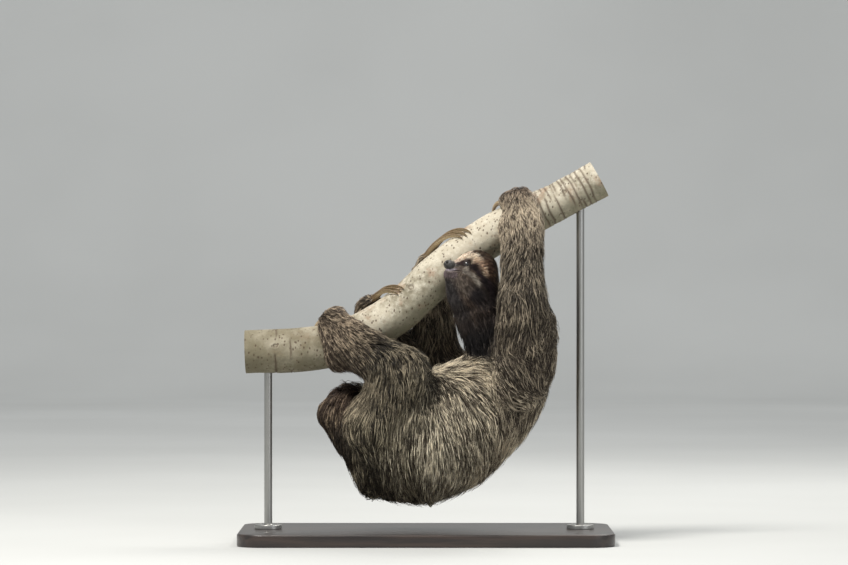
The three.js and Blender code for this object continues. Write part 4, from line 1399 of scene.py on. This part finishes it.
def make_claw(node, line, across, material):
    """A tube that narrows to a blunt point, higher than it is wide, with a groove on each side."""
    t = np.linspace(0, 1, CLAW_RINGS)
    run = unit(np.gradient(line, axis=0))
    side = np.cross([0.0, 1.0, 0.0], run[0])
    turns = around(CLAW_SIDES)
    groove = 1 - CLAW_GROOVE * np.cos(2 * turns - math.pi) ** 8
    rings = []
    for place, ahead, share in zip(line, run, t):
        side = unit(side - (side @ ahead) * ahead)
        other = np.cross(ahead, side)
        size = math.sqrt(1 - CLAW_TAPER["loss"] * share ** CLAW_TAPER["power"])
        offset = (np.cos(turns) * CLAW["along"] * size)[:, None] * side
        offset = offset + (np.sin(turns) * across * size * groove)[:, None] * other
        rings.append(place + offset)
    points, faces = loft(np.array(rings) * MM)
    under, ridges = 0.5 - 0.5 * np.cos(turns), np.sin(turns * 7)
    new_piece(
        node + "_horn", points, faces, material, "claw", [node],
        along=np.concatenate([np.repeat(t, CLAW_SIDES), [0, 1]]),
        under=np.concatenate([np.tile(under, CLAW_RINGS), [0, 0]]),
        groove=np.concatenate([np.tile(ridges, CLAW_RINGS), [0, 0]]),
    )


# Where leaf scars ring the branch, most of them at its upper end, and small knots: their place
# along it, degrees round it towards the viewer and radius. All in millimetres.
SCAR_ROWS = (-262, -236, 62, 203, 212, 220, 229, 235, 244, 251, 259, 266, 275, 283, 292)
SCAR_WIDTH = 1.5
# Painted shade at the branch's lower end, which is darker and greener: where it starts, where it is
# full and how strong.
LOWER_END_SHADE = {"from": 70, "to": 200, "most": 0.9}  # the lower end is greener and darker
KNOTS = (
    (-262, 75, 6), (-176, 118, 5), (-14, 62, 8), (70, 96, 5),
    (112, -50, 9), (246, 72, 6), (-60, -80, 7),
)
# The bark's lumps: height, size and seed.
LUMPS = ((0.9, 70, 11), (0.45, 21, 12), (0.2, 6, 13))
SAWN_RINGS = np.linspace(0.985, 0.02, 14)  # rings of the cut ends, as shares of their rims


def make_branch():
    length = np.concatenate([[0], np.cumsum(np.linalg.norm(np.diff(BRANCH, axis=0), axis=1))])
    x = np.interp(np.linspace(0, length[-1], BARK_RINGS), length, BRANCH[:, 0])
    at_x = np.repeat(x[:, None], BARK_SIDES, axis=1)
    turns = np.linspace(0, 360, BARK_SIDES + 1)[:-1]
    degrees = np.repeat(turns[None], BARK_RINGS, axis=0)
    flat = around_branch(at_x, degrees, -1, 0.0).reshape(-1, 3)
    height = noises(flat, LUMPS)

    scar = np.zeros(len(flat))
    for number, row in enumerate(SCAR_ROWS):
        wander = 2.2 * value_noise(flat, 26, 40 + number)
        fades = smooth(value_noise(flat, 34, 60 + number), -0.5, 0.1)
        scar = np.maximum(scar, bell(at_x.ravel() - row - wander, SCAR_WIDTH) * fades)
    height += 1.1 * bell(scar - 0.35, 0.2) * (scar > 0.05) - 0.9 * scar
    for row, round_it, radius in KNOTS:
        centre = around_branch(np.array([float(row)]), round_it, -1, 0.0)[0]
        far = np.linalg.norm((flat - centre) * [1, 1, 1.25], axis=1)
        height += 1.3 * bell(far - radius, 1.8) - 1.2 * bell(far, radius * 0.6)
        scar = np.maximum(scar, 0.9 * bell(far - radius * 0.55, 1.3))

    bark = around_branch(at_x, degrees, -1, height.reshape(at_x.shape))
    bodies = [loft(bark, closed_ends=False), sawn_end(bark[0], -1), sawn_end(bark[-1], 1)]
    points, faces = join(bodies)
    cap = np.concatenate([np.repeat([1, *SAWN_RINGS], BARK_SIDES), [0]])
    none, plain = np.zeros(len(cap) * 2), np.zeros(len(flat))
    # Painted shade: the lower end of the branch is made darker and greener.
    aged = LOWER_END_SHADE["most"] * smooth(-at_x.ravel(), LOWER_END_SHADE["from"], LOWER_END_SHADE["to"])
    # under marks the branch's underside, which the bark material darkens with painted greenish shade.
    under = smooth(0.5 - 0.5 * np.cos(np.radians(degrees)), 0.35, 0.9).ravel()
    new_piece(
        "branch_bark", points * MM, faces, bark_material(), "bark", ["branch"],
        aged=np.concatenate([aged, none]),
        scar=np.concatenate([scar, none]),
        under=np.concatenate([under, none]),
        cut=np.concatenate([plain, none + 1]),
        rings=np.concatenate([plain, cap, cap]),
    )


def sawn_end(rim, order):
    """A flat end of rings inside a rim, with its faces in one order or the other."""
    centre = rim.mean(0)
    rings = np.concatenate([rim[None], centre + SAWN_RINGS[:, None, None] * (rim - centre)])
    points, faces = loft(rings, closed_ends=False)
    inner = np.arange(BARK_SIDES) + (len(rings) - 1) * BARK_SIDES
    hub = np.full(BARK_SIDES, len(points))
    points = np.concatenate([points, rings[-1].mean(0)[None]])
    faces = np.concatenate([faces, np.stack([hub, inner, np.roll(inner, -1)], axis=1)])
    return points, faces[:, ::order]


# ---- the stand

BASE_CORNER = 45
BASE_ROUNDING = 3
FLANGE = {"radius": 24, "height": 7, "rounding": 1.6}
ROD_RADIUS = 7
FILLET = 1.2
SCREWS = {"count": 3, "ring": 16, "radius": 2.6, "height": 1.1}


def make_base():
    low, high = (np.array(corner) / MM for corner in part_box("stand_base"))
    centre, half = (low + high)[:2] / 2, (high - low)[:2] / 2
    rounding = np.linspace(0, math.pi / 2, 6)
    steps = [(BASE_ROUNDING * (1 - math.sin(a)), BASE_ROUNDING * (1 - math.cos(a))) for a in rounding]
    profile = [(inset, low[2] + rise) for inset, rise in steps]
    profile += [(inset, high[2] - rise) for inset, rise in reversed(steps)]
    rings = []
    for inset, height in profile:
        ring = []
        for quarter, sign in enumerate(((1, 1), (-1, 1), (-1, -1), (1, -1))):
            corner = centre + np.array(sign) * (half - BASE_CORNER)
            for a in np.radians(np.linspace(0, 90, 13) + 90 * quarter):
                out = (BASE_CORNER - inset) * np.array([math.cos(a), math.sin(a)])
                ring.append((*(corner + out), height))
        rings.append(ring)
    points, faces = loft(np.array(rings))
    new_piece(
        "stand_plate", points * MM, faces, lacquer_material(), "stand_base", ["stand_base"], sharp=30
    )


def lathe(profile, centre, sides=64):
    """A closed body turned round an upright axis, from its lower end to its upper one."""
    turns = around(sides)
    ring = np.stack([np.cos(turns), np.sin(turns), np.zeros(sides)], axis=1)
    return loft(np.array([centre + r * ring + [0, 0, z] for r, z in profile]))


def rounded(radius, low, high, rounding):
    """A disc's profile with its upper edge rounded."""
    turns = np.linspace(0, math.pi / 2, 6)
    edge = [(radius - rounding * (1 - math.cos(a)), high - rounding * (1 - math.sin(a))) for a in turns]
    return [(radius, low), *edge]


def make_rods():
    material = steel_material()
    for node in ("stand_rod_low", "stand_rod_high"):
        low, high = (np.array(corner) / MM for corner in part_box(node))
        centre = np.array([*((low + high)[:2] / 2), 0.0])
        flange = rounded(FLANGE["radius"], low[2], low[2] + FLANGE["height"], FLANGE["rounding"])
        top = flange[-1][1]
        neck = [(ROD_RADIUS + FILLET, top), (ROD_RADIUS, top + FILLET)]
        bodies = [lathe([*flange, *neck, (ROD_RADIUS, high[2])], centre)]
        for number in range(SCREWS["count"]):
            turn = 2 * math.pi * (number + 0.25) / SCREWS["count"]
            beside = centre + SCREWS["ring"] * np.array([math.cos(turn), math.sin(turn), 0])
            head_of_screw = rounded(SCREWS["radius"], top - 0.5, top + SCREWS["height"], 0.7)
            bodies.append(lathe(head_of_screw, beside, 24))
        points, faces = join(bodies)
        new_piece(node + "_turned", points * MM, faces, material, "stand_rod", [node], sharp=35)


def make_wall():
    """A pale floor that sweeps up into the wall behind."""
    turns = np.linspace(0, math.pi / 2, 24)
    bend, radius = WALL["bend"], WALL["radius"]
    profile = [(WALL["front"], 0.0)]
    profile += [(bend + radius * math.sin(a), radius * (1 - math.cos(a))) for a in turns]
    profile.append((bend + radius, WALL["top"]))
    half = WALL["half_width"]
    points = np.array([(x, y, z) for y, z in profile for x in (-half, half)])
    row = 2 * np.arange(len(profile) - 1)[:, None]
    wall = new_object("wall", new_mesh("wall", points, row + np.array([[0, 1, 3, 2]])))
    wall.data.materials.append(wall_material())


make_camera()
make_lights()
make_wall()
skin = Skin(make_coat_surface())
unwrap = Unwrap()
make_skin_piece(skin, unwrap)
make_coat(skin, unwrap)
make_eyes()
make_nose()
make_claws()
make_branch()
make_base()
make_rods()
